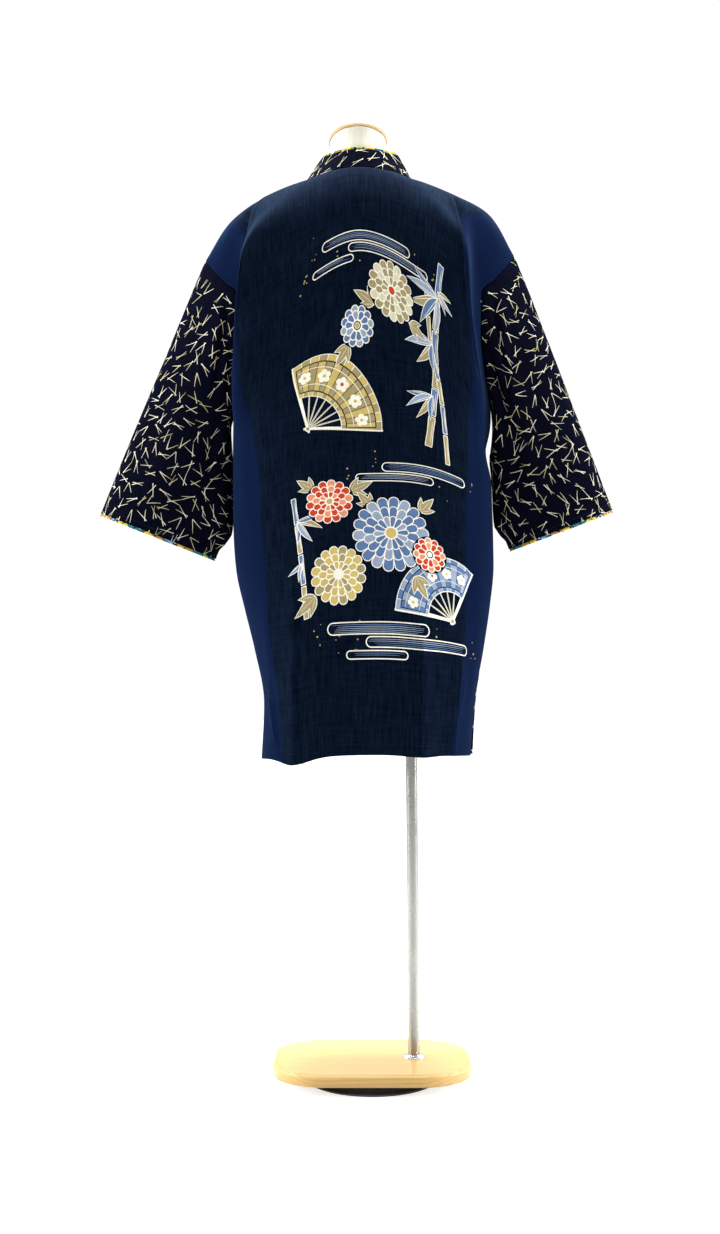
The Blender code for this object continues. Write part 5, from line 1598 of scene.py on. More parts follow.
SLUB_DARK, SLUB_LIGHT = (0.0006, 0.0016, 0.0050), (0.0036, 0.0084, 0.0195)
ROYAL_DARK, ROYAL_LIGHT = (0.0015, 0.0044, 0.0190), (0.0030, 0.0076, 0.0290)
body_cloth, tree, shader = new_material("body_cloth", 0.88, 0.004, sheen=0.045)
threads = use_group(tree, weave, Cloth=flat_cloth(tree), Thread=0.0006, Streak=0.002,
                    Length=0.042)
hatch, fine = threads
beyond = spread(attribute(tree, "border")["Fac"], -1.0, 1.0, kind="SMOOTHSTEP")
dyed = tint(beyond, tint(hatch, SLUB_DARK, SLUB_LIGHT), tint(fine, ROYAL_DARK, ROYAL_LIGHT))
ink = attribute(tree, "print")
worn = maths("ADD", 0.86, maths("MULTIPLY", hatch, 0.22))
inked = tint(1.0, ink["Color"], node(tree, "CombineXYZ", {k: worn for k in "XYZ"}).outputs[0],
             "MULTIPLY")
cover(shader, tint(ink["Alpha"], dyed, inked), maths("ADD", fine, maths("MULTIPLY", hatch, 0.9)),
      0.30, 0.00035, spread(hatch, 0.0, 1.0, 0.94, 0.80))
print("body_cloth:", len(tree.nodes), "nodes")

# %% [markdown]
# The needle cloth is a closer plain weave on a near-black ground. The resist leaves the needles a
# little uneven: their cream is warmer in some places than in others and thins out over the threads.
# The inner sides are the same cloth without its print, and the band's ground is a touch darker.

# %% Needle cloth and inner cloth
RESIST = [(0.35, (0.58, 0.56, 0.36)), (0.50, (0.90, 0.89, 0.78)), (0.70, (1.0, 0.99, 0.92))]


def woven_material(name, ground, light, thread, printed_cloth=True):
    material, tree, shader = new_material(name, 0.90, 0.004, sheen=0.008)
    place = flat_cloth(tree)
    hatch, fine = use_group(tree, weave, Cloth=place, Thread=thread, Streak=0.0015, Length=0.02)
    colour = tint(maths("MULTIPLY", hatch, fine), ground, light)
    if printed_cloth:
        ink = attribute(tree, "print")
        tone = tint(1.0, ink["Color"], ramp(noise(place, 42.0, 3.0), RESIST), "MULTIPLY")
        thinned = maths("ADD", 0.80, maths("MULTIPLY", fine, 0.20))
        colour = tint(maths("MULTIPLY", ink["Alpha"], thinned), colour, tone)
    cover(shader, colour, fine, 0.25, 0.0003, spread(fine, 0.0, 1.0, 0.96, 0.82))
    return material


sleeve_cloth = woven_material("sleeve_cloth", (0.0013, 0.0016, 0.0052), (0.0040, 0.0048, 0.0125),
                              0.00055)
band_cloth = woven_material("band_cloth", (0.0012, 0.0015, 0.0048), (0.0038, 0.0046, 0.0120),
                            0.00055)
inner_cloth = woven_material("inner_cloth", (0.0016, 0.0028, 0.0085), (0.0046, 0.0075, 0.0190),
                             0.0006, printed_cloth=False)

# The sewing thread is a touch lighter than the cloth. Its twist shows as slanting light and dark.
sewing_thread, tree, shader = new_material("sewing_thread", 0.72, 0.05, sheen=0.01)
twist = node(tree, "TexWave", {"Vector": here(tree), "Scale": 620.0, "Distortion": 1.2},
             bands_direction="DIAGONAL").outputs["Fac"]
cover(shader, ramp(twist, [(0.2, (0.0025, 0.0045, 0.014)), (0.8, (0.0075, 0.0125, 0.034))]), twist,
      0.3, 0.0001)
print("needle cloth, inner cloth and thread")

# %% [markdown]
# Inside the cuffs and along the collar runs a bright contrast cotton: patches of yellow, ochre,
# lilac white, teal, light blue and chartreuse with dark outlines. Cells of a Voronoi texture make
# the patches, and the distance to a cell's edge makes the outline.

# %% Contrast cotton
WHITE = (1.0, 1.0, 1.0)
PATCHES = [(0.0, (0.78, 0.56, 0.06)), (0.22, (0.55, 0.30, 0.04)), (0.32, (0.72, 0.70, 0.78)),
           (0.58, (0.03, 0.24, 0.28)), (0.66, (0.25, 0.48, 0.68)), (0.76, (0.52, 0.60, 0.10))]
facing_cloth, tree, shader = new_material("contrast_cotton", 0.82, 0.12, sheen=0.02)
place = flat_cloth(tree)
moved = node(tree, "VectorMath", {0: noise(place, 90.0, output="Color"), 1: (0.006, 0.006, 0.0)},
             operation="MULTIPLY")
moved = node(tree, "VectorMath", {0: moved, 1: place}, operation="ADD")
patch, edges = (node(tree, "TexVoronoi", {"Vector": moved, "Scale": 78.0}, feature=feature)
                for feature in ("F1", "DISTANCE_TO_EDGE"))
colours = ramp(parts_of(patch.outputs["Color"])["X"], PATCHES, "CONSTANT")
colours = tint(spread(edges.outputs["Distance"], 0.035, 0.075), (0.012, 0.014, 0.030), colours)
fine = use_group(tree, weave, Cloth=place, Thread=0.0005, Streak=0.0015, Length=0.02)["Weave"]
shaded = ramp(fine, [(0.0, (0.80, 0.80, 0.80)), (1.0, WHITE)])
cover(shader, tint(1.0, colours, shaded, "MULTIPLY"), fine, 0.25, 0.0003)
print("contrast_cotton:", len(tree.nodes), "nodes")

# %% [markdown]
# The board and the neck cap are pine. A pine board shows growth rings cut lengthwise: straight,
# nearly parallel lines along the grain on top, and short end grain where the round corners cut
# across it. Both come from one solid texture, rings about an axis that lies along the board and
# below it, so the top and the edges agree. Fine pores and a satin lacquer finish it.

# %% Timber grain
timber, given, end = new_group(
    "timber_grain", {"Wood": None, "Axis Depth": 0.16, "Ring": 0.0052}, ["Rings", "Fibre", "Tone"])
stretched, fibres = (
    node(timber, "Mapping", {"Vector": given["Wood"], "Scale": scale}).outputs[0]
    for scale in ((2.2, 26.0, 26.0), (24.0, 1400.0, 1400.0)))
wood = parts_of(given["Wood"])
deep = maths("ADD", wood["Z"], given["Axis Depth"])
aside = maths("ADD", wood["Y"], maths("MULTIPLY", wood["X"], 0.035))
squares_sum = maths("ADD", maths("MULTIPLY", deep, deep), maths("MULTIPLY", aside, aside))
drift = maths("MULTIPLY", noise(stretched, 1.0, 3.0), 0.012)
radius = maths("ADD", maths("SQRT", squares_sum), drift)
ring_share = maths("FRACT", maths("DIVIDE", radius, given["Ring"]))
late_wood = spread(ring_share, 0.35, 0.97, kind="SMOOTHSTEP")
early_wood = spread(ring_share, 0.97, 1.0, 1.0, 0.0)
join(timber, end, {"Rings": maths("MULTIPLY", late_wood, early_wood),
                   "Fibre": noise(fibres, 1.0), "Tone": noise(stretched, 0.35, 1.0)})


def pine(name, light, dark, axis_depth, ring, strength):
    material, tree, shader = new_material(name, 0.38, 0.35)
    join(tree, shader, {"Coat Roughness": 0.22, "Coat Weight": 0.25})
    rings, fibre, tone = use_group(tree, timber, Wood=here(tree), Axis_Depth=axis_depth, Ring=ring)
    body = tint(maths("MULTIPLY", rings, strength), light, dark)
    body = tint(1.0, body, ramp(fibre, [(0.30, (0.90, 0.87, 0.82)), (0.62, WHITE)]), "MULTIPLY")
    body = tint(1.0, body, ramp(tone, [(0.35, (1.0, 0.965, 0.90)), (0.65, WHITE)]), "MULTIPLY")
    cover(shader, body, maths("SUBTRACT", fibre, maths("MULTIPLY", rings, 0.4)), 0.10, 0.0003,
          spread(rings, 0.0, 1.0, 0.42, 0.32))
    return material


board_pine = pine("board_pine", (0.60, 0.395, 0.140), (0.51, 0.285, 0.076), 0.16, 0.0058, 0.55)
cap_pine = pine("cap_pine", (0.41, 0.270, 0.130), (0.33, 0.190, 0.065), 0.12, 0.0048, 0.5)
print("timber_grain:", len(timber.nodes), "nodes")

# %% [markdown]
# The form is covered in unbleached linen, the pole is satin nickel with fine lengthwise polishing
# marks, and the flange and screw are brighter chrome. Machining marks are noise stretched along the
# direction of the tool. The foot is a dark moulded disc, worn paler round its lower rim, where it
# is dragged over floors.

# %% Linen, metal and foot
FORM_GIRTH_RADIUS = 0.09  # turns an angle round the form into a length of linen
linen, tree, shader = new_material("form_linen", 0.86, 0.20, sheen=0.05)
form = parts_of(here(tree))
around_form = maths("MULTIPLY", maths("ARCTAN2", form["Y"], form["X"]), FORM_GIRTH_RADIUS)
linen_place = node(tree, "CombineXYZ", {"X": around_form, "Y": form["Z"]})
hatch, fine = use_group(tree, weave, Cloth=linen_place, Thread=0.0011, Streak=0.002, Length=0.03)
cover(shader, tint(hatch, (0.62, 0.600, 0.51), (0.72, 0.705, 0.62)), fine, 0.30, 0.0004)

LENGTHWISE, CROSSWISE = (900.0, 900.0, 9.0), (60.0, 60.0, 900.0)
tooling, given, end = new_group("machining_marks", {"Place": None, "Stretch": LENGTHWISE},
                                ["Marks", "Clouds"])
stretched = node(tooling, "VectorMath", {0: given["Place"], 1: given["Stretch"]},
                 operation="MULTIPLY")
join(tooling, end, {"Marks": noise(stretched.outputs[0], 1.0),
                    "Clouds": noise(given["Place"], 28.0)})


def metal(name, light, dark, smooth, rough, stretch):
    material, tree, shader = new_material(name, rough, 0.5, metallic=1.0)
    marks, clouds = use_group(tree, tooling, Place=here(tree), Stretch=stretch)
    cover(shader, tint(marks, dark, light), marks, 0.05, 0.0001,
          spread(clouds, 0.3, 0.7, smooth, rough))
    return material


satin_nickel = metal("satin_nickel", (0.36, 0.355, 0.325), (0.27, 0.265, 0.24), 0.24, 0.34,
                     LENGTHWISE)
chrome = metal("bright_chrome", (0.80, 0.80, 0.82), (0.70, 0.70, 0.72), 0.10, 0.18, CROSSWISE)

foot_plastic, tree, shader = new_material("foot_plastic", 0.5, 0.12)
place = here(tree)
grain, scuffs = noise(place, 900.0), noise(place, 55.0, 4.0)
body = ramp(grain, [(0.35, (0.014, 0.013, 0.011)), (0.65, (0.026, 0.024, 0.021))])
worn = maths("MULTIPLY", spread(parts_of(place)["Z"], 0.0045, 0.0015),
             maths("ADD", 0.35, maths("MULTIPLY", scuffs, 0.6)))
cover(shader, tint(worn, body, (0.26, 0.25, 0.23)), grain, 0.15, 0.0002,
      spread(scuffs, 0.0, 1.0, 0.36, 0.66))
print("linen, nickel, chrome and foot")

# %% [markdown]
# The dress form has no arms and ends at the hips. It is a smooth body through rings: those under
# the coat's shoulders take their height from the shoulder line, since that is where the cloth
# rests. The same slope-limited curve that shapes the cloth runs through the rings, so the form
# never swells into the coat.

# %% Dress form
# height, half width, depth behind and in front, and squareness
FORM_RINGS = [(0.745, 0.138, 0.08, 0.074, 2.3), (0.752, 0.149, 0.088, 0.08, 2.3),
              (0.8, 0.16, 0.096, 0.086, 2.3), (0.87, 0.165, 0.1, 0.09, 2.3),
              (0.95, 0.15, 0.086, 0.086, 2.2), (1.03, 0.133, 0.074, 0.084, 2.2),
              (1.11, 0.143, 0.084, 0.09, 2.2), (1.19, 0.157, 0.092, 0.094, 2.2),
              (1.26, 0.165, 0.09, 0.086, 2.2), (1.32, 0.168, 0.074, 0.07, 2.3),
              (1.36, 0.165, 0.058, 0.056, 2.3)]
SHOULDER_REST = [(0.148, 0.038), (0.132, 0.040), (0.114, 0.040)]   # half width, depth
FORM_UNDER_COAT = 0.0026   # from the coat's outer face down to the form that carries it
SHOULDER_TO_NECK = [(1.4150, 0.086, 0.044), (1.4240, 0.064, 0.044), (1.4420, 0.050, 0.046)]
NECK_TOP_Z, NECK_Y, NECK_TILT = 1.480, -0.003, math.radians(20)
NECK_HALF, NECK_DEPTH = 0.044, 0.046
CAP_THICK, CAP_LIP, CAP_LOW_EDGE, CAP_TOP_EDGE = 0.007, 0.0020, 0.0010, 0.0015
ROUND, FORM_ROWS = 96, 110
ROUND_TURNS = np.linspace(0.0, 2 * math.pi, ROUND, endpoint=False)


def shoulder_height(x):
    """Height of the coat's shoulder line at a distance from the middle."""
    line = FACES["back", "left"][0][0]
    return np.interp(x, line[:, 0], line[:, 2])


def form_ring(z, half_width, back_depth, front_depth, squareness):
    x, back = squared_ring(ROUND_TURNS, half_width, back_depth, squareness)
    front = squared_ring(ROUND_TURNS, half_width, front_depth, squareness)[1]
    return np.stack([x, np.where(back > 0, back, front), np.full(ROUND, z)], axis=1)


def neck_ring(height, grow=0.0):
    """An oval across the neck's tilted top, at a height above its plane."""
    tilt = Matrix.Rotation(NECK_TILT, 3, "X")
    middle = Vector((0.0, NECK_Y, NECK_TOP_Z))
    return np.array([middle + tilt @ Vector(((NECK_HALF + grow) * math.sin(turn),
                                             (NECK_DEPTH + grow) * math.cos(turn), height))
                     for turn in ROUND_TURNS])


def hard_piece(name, work, material, sharp=40):
    """Makes a smooth solid piece out of a working mesh, with edges sharp from an angle on."""
    bmesh.ops.recalc_face_normals(work, faces=work.faces)
    mesh = bpy.data.meshes.new(name)
    work.to_mesh(mesh)
    work.free()
    mesh.shade_smooth()
    mesh.set_sharp_from_angle(angle=math.radians(sharp))
    return add_piece(name, mesh, [material])


def closed_body(name, rings, material, turn=lean_turn):
    """A closed solid through rings of points, from the lowest to the highest."""
    rings = np.array(rings)
    rows, count = rings.shape[:2]
    work = bmesh.new()
    points = [work.verts.new(point) for point in leant(rings.reshape(-1, 3), turn)]
    for square in squares(rows, count, around=True):
        work.faces.new([points[i * count + j % count] for i, j in square])
    work.faces.new(points[:count][::-1])
    work.faces.new(points[-count:])
    return hard_piece(name, work, material)


def eased(across, up, radius, start, end, steps=5):
    """Points of a rounded edge about a centre, from one angle to another in degrees."""
    return [(across + radius * math.cos(a), up + radius * math.sin(a))
            for a in np.radians(np.linspace(start, end, steps))]


pieces = {}
rings = [form_ring(*ring) for ring in FORM_RINGS]
for half_width, depth in SHOULDER_REST:
    rings.append(form_ring(shoulder_height(half_width) - FORM_UNDER_COAT, half_width, depth, depth,
                           2.0))
rings += [form_ring(z, half_width, depth, depth, 2.1) for z, half_width, depth in SHOULDER_TO_NECK]
rings = np.array([*rings, neck_ring(0.0)])
steps = np.linalg.norm(np.diff(rings, axis=0), axis=2).mean(axis=1)
knots = np.concatenate([[0.0], np.cumsum(steps)])
at = np.unique(np.concatenate([knots, np.linspace(0.0, knots[-1], FORM_ROWS)]))
smooth_rings = through(knots, rings.reshape(len(rings), -1), at).reshape(len(at), ROUND, 3)
pieces["form"] = closed_body("form_body", smooth_rings, linen)
low, top = CAP_LOW_EDGE, CAP_TOP_EDGE
cap = [(FIT_GAP, CAP_LIP - low)]
cap += [(FIT_GAP + low * (1 - math.cos(a)), CAP_LIP - low * (1 - math.sin(a)))
        for a in np.linspace(0.4, math.pi / 2, 4)]
cap += [(CAP_THICK - top * (1 - math.sin(a)), CAP_LIP - top * (1 - math.cos(a)))
        for a in np.linspace(0.0, math.pi / 2, 6)]
pieces["cap"] = closed_body("neck_cap_pine", [neck_ring(*ring) for ring in cap], cap_pine)
print("form and cap:", [len(piece.data.polygons) for piece in pieces.values()], "faces")

# %% [markdown]
# The foot, the flange and the pole are round, so each is one profile turned about an axis. The
# board is a flat outline with round corners, raised, with a softly rounded edge and a fine routed
# line just inside it. All of it is built in place, because the finished pieces keep their objects
# unmoved.

# %% Stand
FOOT_RADIUS, FOOT_TOP_EDGE, FOOT_LOW_EDGE = 0.103, 0.003, 0.0015
FOOT_GROOVE = [(0, 0.0062), (0.0006, 0.0058), (0.0006, 0.0052), (0, 0.0048)]     # depth, height
POLE_RADIUS, POLE_EDGE = 0.0092, 0.0004
FLANGE_RADIUS, FLANGE_COLLAR, FLANGE_HEIGHT = 0.0188, 0.0125, 0.004
FLANGE_EDGE, FLANGE_RIM, FLANGE_SLOPE = 0.001, 0.0008, 0.0024
SCREW_RADIUS, SCREW_LENGTH, SCREW_TURN, SCREW_UP = 0.0017, 0.0012, math.radians(30), 0.004
SCREW_STEPS, SOCKET_SIDES = 24, 6
# share of the screw's length and radius, and whether the ring has the socket's six sides
SCREW_RINGS = [(0, 1, 0), (0.72, 1, 0), (1, 0.84, 0), (1, 0.52, 1), (0.45, 0.5, 1)]


def turned(name, profile, material, middle=0.0, steps=128):
    """A turned solid from its profile of radius and height, closed on itself or on the axis."""
    work = bmesh.new()
    corners = [work.verts.new((radius, 0.0, z)) for radius, z in profile]
    edges = [work.edges.new(pair) for pair in zip(corners[:-1], corners[1:])]
    if profile[0][0] > 0:
        edges.append(work.edges.new((corners[-1], corners[0])))
    bmesh.ops.spin(work, geom=corners + edges, axis=(0, 0, 1), cent=(0, 0, 0),
                   angle=2 * math.pi, steps=steps, use_merge=True, use_duplicate=False)
    bmesh.ops.remove_doubles(work, verts=work.verts, dist=0.00001)
    bmesh.ops.translate(work, verts=work.verts, vec=(middle, 0.0, 0.0))
    return hard_piece(name, work, material)


top, low = FOOT_TOP_EDGE, FOOT_LOW_EDGE
pieces["foot"] = turned("round_foot", [
    (0.0, FOOT_HEIGHT), *eased(FOOT_RADIUS - top, FOOT_HEIGHT - top, top, 90, 0),
    *[(FOOT_RADIUS - depth, z) for depth, z in FOOT_GROOVE],
    *eased(FOOT_RADIUS - low, low, low, 0, -90), (0.0, 0.0)], foot_plastic)
rest, bore, edge = BOARD_TOP + FIT_GAP, POLE_RADIUS + FIT_GAP, FLANGE_EDGE
pieces["flange"] = turned("pole_flange", [
    (bore, rest + FLANGE_HEIGHT - 0.0004), (bore + 0.0004, rest + FLANGE_HEIGHT),
    *eased(FLANGE_COLLAR - edge, rest + FLANGE_HEIGHT - edge, edge, 90, 0),
    (FLANGE_COLLAR + 0.0003, rest + FLANGE_SLOPE + 0.0003),
    (FLANGE_COLLAR + edge, rest + FLANGE_SLOPE), (FLANGE_RADIUS - edge, rest + 2 * FLANGE_RIM),
    (FLANGE_RADIUS - 0.0003, rest + FLANGE_RIM + 0.0004), (FLANGE_RADIUS, rest + FLANGE_RIM),
    (FLANGE_RADIUS, rest), (bore, rest)], chrome, middle=POLE_X)

low, top = BOARD_TOP + 2 * FIT_GAP, FORM_RINGS[0][0] - FIT_GAP
around = np.linspace(0.0, 2 * math.pi, 64, endpoint=False)
pieces["pole"] = closed_body("stand_pole", [
    np.stack([POLE_X + radius * np.cos(around), radius * np.sin(around),
              np.full(len(around), z)], axis=1)
    for z, radius in ((low, POLE_RADIUS - POLE_EDGE), (low + POLE_EDGE, POLE_RADIUS),
                      *[(z, POLE_RADIUS) for z in np.linspace(0.06, 0.72, 12)],
                      (top - POLE_EDGE, POLE_RADIUS), (top, POLE_RADIUS - POLE_EDGE))],
    satin_nickel, pole_turn)

cosine, sine = math.cos(SCREW_TURN), math.sin(SCREW_TURN)
middle = np.array([POLE_X, 0.0, BOARD_TOP + FLANGE_HEIGHT + SCREW_UP])
turn = np.linspace(0.0, 2 * math.pi, SCREW_STEPS, endpoint=False)
half_side = math.pi / SOCKET_SIDES
six_sided = math.cos(half_side) / np.cos(np.mod(turn, 2 * half_side) - half_side)
rings = []
for reach, radius, in_socket in SCREW_RINGS:
    size = SCREW_RADIUS * radius * (six_sided if in_socket else np.ones(SCREW_STEPS))
    centre = middle + np.array([-sine, cosine, 0.0]) * (bore + SCREW_LENGTH * reach)
    rings.append(centre + np.outer(size * np.cos(turn), (cosine, sine, 0.0))
                 + np.outer(size * np.sin(turn), (0.0, 0.0, 1.0)))
pieces["screw"] = closed_body("flange_screw", rings, chrome, pole_turn)
print("foot, flange, pole and screw")

# %% Board
BOARD_LENGTH, BOARD_DEPTH, BOARD_CORNER = 0.310, 0.226, 0.082
BOARD_EDGE, BOARD_LOW_EDGE, BOARD_LIP_IN, BOARD_LIP_UP = 0.004, 0.0012, 0.002, 0.0008
ROUTED_LINE = [(BOARD_LIP_IN, 0), (0.0004, -0.0004), (0.0008, 0.0012)]   # width, height of a step
BOARD_SHARP = 24


def face_at(work, pick):
    """The lowest face, picked with min, or the highest, picked with max."""
    return pick(work.faces, key=lambda face: face.calc_center_median().z)


outline = []
for start, x, y in ((0, 1, 1), (90, -1, 1), (180, -1, -1), (270, 1, -1)):
    outline += eased((BOARD_LENGTH / 2 - BOARD_CORNER) * x, (BOARD_DEPTH / 2 - BOARD_CORNER) * y,
                     BOARD_CORNER, start, start + 90, steps=32)
work = bmesh.new()
bottom = work.faces.new([work.verts.new((x, y, FOOT_HEIGHT + FIT_GAP)) for x, y in outline])
raised = bmesh.ops.extrude_face_region(work, geom=[bottom])["geom"]
bmesh.ops.translate(work, vec=(0.0, 0.0, BOARD_THICK - BOARD_LIP_UP),
                    verts=[part for part in raised if isinstance(part, bmesh.types.BMVert)])
for pick, ease, segments in ((min, BOARD_LOW_EDGE, 3), (max, BOARD_EDGE, 7)):
    bmesh.ops.bevel(work, geom=face_at(work, pick).edges[:], offset=ease, segments=segments,
                    profile=0.5, affect="EDGES")
board_top = face_at(work, max)
for width, height in ROUTED_LINE:
    bmesh.ops.inset_region(work, faces=[board_top], thickness=width, depth=height)
pieces["board"] = hard_piece("stand_board", work, board_pine, BOARD_SHARP)
print("board", len(pieces["board"].data.polygons), "faces")

# %% [markdown]
# Now the pieces themselves. Each one is a printed flat panel hung on its surface and given its
# wall. The first material is its outer face and the second the plain inner side.

# %% Back, fronts, sleeves and band
INSIDE = (0.0, 0.0, 1.0)
body_sides, sleeve_sides = [body_cloth, inner_cloth], [sleeve_cloth, inner_cloth]
pieces["back"] = hang_panel("coat_back", flat_panel(back_outline(), back_net, back_shapes),
                            back_surface, INSIDE, body_sides, CLOTH)
mark_border(pieces["back"].data)
for side, mirror in SIDES.items():
    panel = flat_panel(front_outline(side), front_nets[side], [])
    pieces[f"front_{side}"] = hang_panel(f"coat_front_{side}", panel, hanging_front(side), INSIDE,
                                         body_sides, CLOTH)
    mark_border(pieces[f"front_{side}"].data, mirror)
for side in SIDES:
    cut = sleeve_cuts[side]
    panel = flat_panel(sleeve_outline(cut), sleeve_net(side, cut), needles[side])
    pieces[f"sleeve_{side}"] = hang_panel(
        f"coat_sleeve_{side}", panel, sleeve_surfaces[side],
        leant(sleeve_grids[side].mean(axis=(0, 1))), sleeve_sides, CLOTH, merged=True)
    points = cuff_facing_points(side)
    pieces[f"facing_{side}"] = grid_piece(f"facing_{side}", points,
                                          leant(points.mean(axis=(0, 1))), around=True)
panel = flat_panel(strip_outline(BAND_WIDTH, BAND_LENGTH), strip_net(BAND_WIDTH, BAND_LENGTH),
                   needles["band"])
pieces["band"] = hang_panel("coat_collar_band", panel, band_surface, INSIDE_BAND,
                            [band_cloth, band_cloth], BAND_CLOTH)
pieces["collar_lining"] = grid_piece("lining_of_collar", collar_lining_points(), INSIDE_BAND)
print({name: len(piece.data.polygons) for name, piece in pieces.items()})

# %% [markdown]
# Hems, cuffs and the band are held by rows of machine stitches. A stitch is the same small thing
# again and again along a line, so Geometry Nodes lay it: the line is cut into even steps, a short
# thick thread is set on every step along the line's direction, and the whole is made real at the
# end. The lines themselves are read off the cloth, so the thread follows every fold.

# %% A row of stitches
STITCH_INPUTS = [("Line", "Geometry", None), ("Spacing", "Float", 0.0034),
                 ("Thread Length", "Float", 0.0026), ("Thread Radius", "Float", 0.00042),
                 ("Seed", "Int", 5)]


def stitch_tree(material):
    """Geometry nodes that lay short threads along a line of edges."""
    tree = bpy.data.node_groups.new("stitch_row", "GeometryNodeTree")
    for title, kind, value in STITCH_INPUTS:
        socket = tree.interface.new_socket(title, in_out="INPUT", socket_type="NodeSocket" + kind)
        if value is not None:
            socket.default_value = value
    tree.interface.new_socket("Stitches", in_out="OUTPUT", socket_type="NodeSocketGeometry")
    given, end = tree.nodes.new("NodeGroupInput").outputs, tree.nodes.new("NodeGroupOutput")
    curve = node(tree, "GeometryNodeMeshToCurve", {"Mesh": given["Line"]})
    steps = node(tree, "GeometryNodeResampleCurve", {"Curve": curve, "Length": given["Spacing"]},
                 mode="LENGTH")
    thread = node(tree, "GeometryNodeMeshUVSphere", {"Segments": 6, "Rings": 5, "Radius": 1.0})
    turn = node(tree, "FunctionNodeAlignEulerToVector",
                {"Vector": node(tree, "GeometryNodeInputTangent")}, axis="Z")
    radius, half = given["Thread Radius"], maths("MULTIPLY", given["Thread Length"], 0.5)
    size = node(tree, "CombineXYZ", {"X": radius, "Y": radius, "Z": half})
    uneven = node(tree, "FunctionNodeRandomValue",
                  {"Min": (0.9, 0.9, 0.92), "Max": (1.1, 1.1, 1.06), "Seed": given["Seed"]},
                  data_type="FLOAT_VECTOR")
    size = node(tree, "VectorMath", {0: size, 1: uneven}, operation="MULTIPLY")
    laid = node(tree, "GeometryNodeInstanceOnPoints", {"Points": steps, "Instance": thread,
                                                       "Rotation": turn, "Scale": size})
    real = node(tree, "GeometryNodeRealizeInstances", {"Geometry": laid})
    painted = node(tree, "GeometryNodeSetMaterial", {"Geometry": real, "Material": material})
    join(tree, end, {"Stitches": painted})
    return tree


stitch_row = stitch_tree(sewing_thread)
STITCH_LIFT = 0.00030     # the middle of the thread above the cloth
STITCH_SPACING, STITCH_POINTS, STITCH_END, STITCH_IN = 0.0034, 260, 0.004, 0.003
BAND_STITCH_IN = 0.0022


def sew(key, surface, across, drop, inside, step=0.002):
    """Lays stitches on a cloth surface along a flat line, and keeps them as one plain mesh."""
    line = surface(across, drop)
    normals = unit(np.cross(surface(across + step, drop) - surface(across - step, drop),
                            surface(across, drop + step) - surface(across, drop - step)))
    lift = np.sign(np.sum(normals * (line - np.array(inside)))) * STITCH_LIFT
    mesh = bpy.data.meshes.new(f"{key}_line")
    mesh.from_pydata((line + normals * lift).tolist(),
                     [(k, k + 1) for k in range(len(line) - 1)], [])
    guide = bpy.data.objects.new(f"{key}_line", mesh)
    bpy.context.scene.collection.objects.link(guide)
    layer = guide.modifiers.new("stitches", "NODES")
    layer.node_group = stitch_row
    names = {item.name: item.identifier for item in stitch_row.interface.items_tree
             if item.in_out == "INPUT"}
    layer[names["Spacing"]] = STITCH_SPACING
    seen = guide.evaluated_get(bpy.context.evaluated_depsgraph_get())
    threads = bpy.data.meshes.new_from_object(seen)
    threads.name = key
    bpy.data.objects.remove(guide)
    bpy.data.meshes.remove(mesh)
    threads.shade_smooth()
    pieces[key] = add_piece(key, threads, [])
    print(key, len(threads.polygons), "faces")


# %% Rows on hems, cuffs and band
hem_drop = np.full(STITCH_POINTS, COAT_DROP - HEM_STITCH_UP)
reach = float(half_run("back", COAT_DROP)) - STITCH_END
sew("stitches_back", back_surface, np.linspace(SLIT_PULL - reach, reach, STITCH_POINTS), hem_drop,
    INSIDE)
half = float(half_run("front", COAT_DROP))
first = float(np.ravel(front_edge(np.array([COAT_DROP])))[0]) * half + STITCH_END
for side in SIDES:
    last = half - STITCH_END - SLIT_PULL * (side == "right")
    sew(f"stitches_front_{side}", hanging_front(side), np.linspace(first, last, STITCH_POINTS),
        hem_drop, INSIDE)
    cut = sleeve_cuts[side]
    away = cut[1][-1] - STITCH_IN
    flat = on_cut(cut, np.full(STITCH_POINTS, 1.0 - CUFF_STITCH_UP / SLEEVE_LENGTHS[side]),
                  np.linspace(-away, away, STITCH_POINTS))
    sew(f"stitches_cuff_{side}", sleeve_surfaces[side], flat[:, 0], flat[:, 1],
        leant(sleeve_grids[side][-6:].mean(axis=(0, 1))))
run = np.linspace(STITCH_IN, BAND_LENGTH - STITCH_IN, 4 * STITCH_POINTS)
sew("stitches_band", band_surface, np.full(len(run), BAND_STITCH_IN - BAND_WIDTH / 2), run,
    INSIDE_BAND, step=0.0012)

# %% [markdown]
# A studio that is nearly all white. The paper behind the coat is the brightest side of the room,
# the ceiling comes next, and the camera's side is dim, so cloth that turns away at an edge picks up
# light while the flat of the back stays dark. Lamps at both sides draw out the folds.

# %% Studio
scene = bpy.context.scene
scene.view_settings.view_transform = "Standard"
world = bpy.data.worlds.new("studio")
scene.world = world
world.use_nodes = True
tree = world.node_tree
paper = tree.nodes["Background"]
join(tree, paper, {"Color": (*WHITE, 1.0), "Strength": 1.05})
toward = parts_of(node(tree, "TexCoord").outputs["Generated"])
to_paper = spread(toward["Y"], 0.4, -0.6, 0.0, 0.80)
to_ceiling = spread(toward["Z"], 0.1, 1.0, 0.0, 0.9)
strength = maths("ADD", maths("ADD", 0.12, to_paper), to_ceiling)
room_light = node(tree, "Background", {"Color": (0.96, 0.98, 1.0, 1.0), "Strength": strength})
seen = node(tree, "LightPath").outputs["Is Camera Ray"]
join(tree, tree.nodes["World Output"],
     {"Surface": node(tree, "MixShader", {0: seen, 1: room_light, 2: paper})})

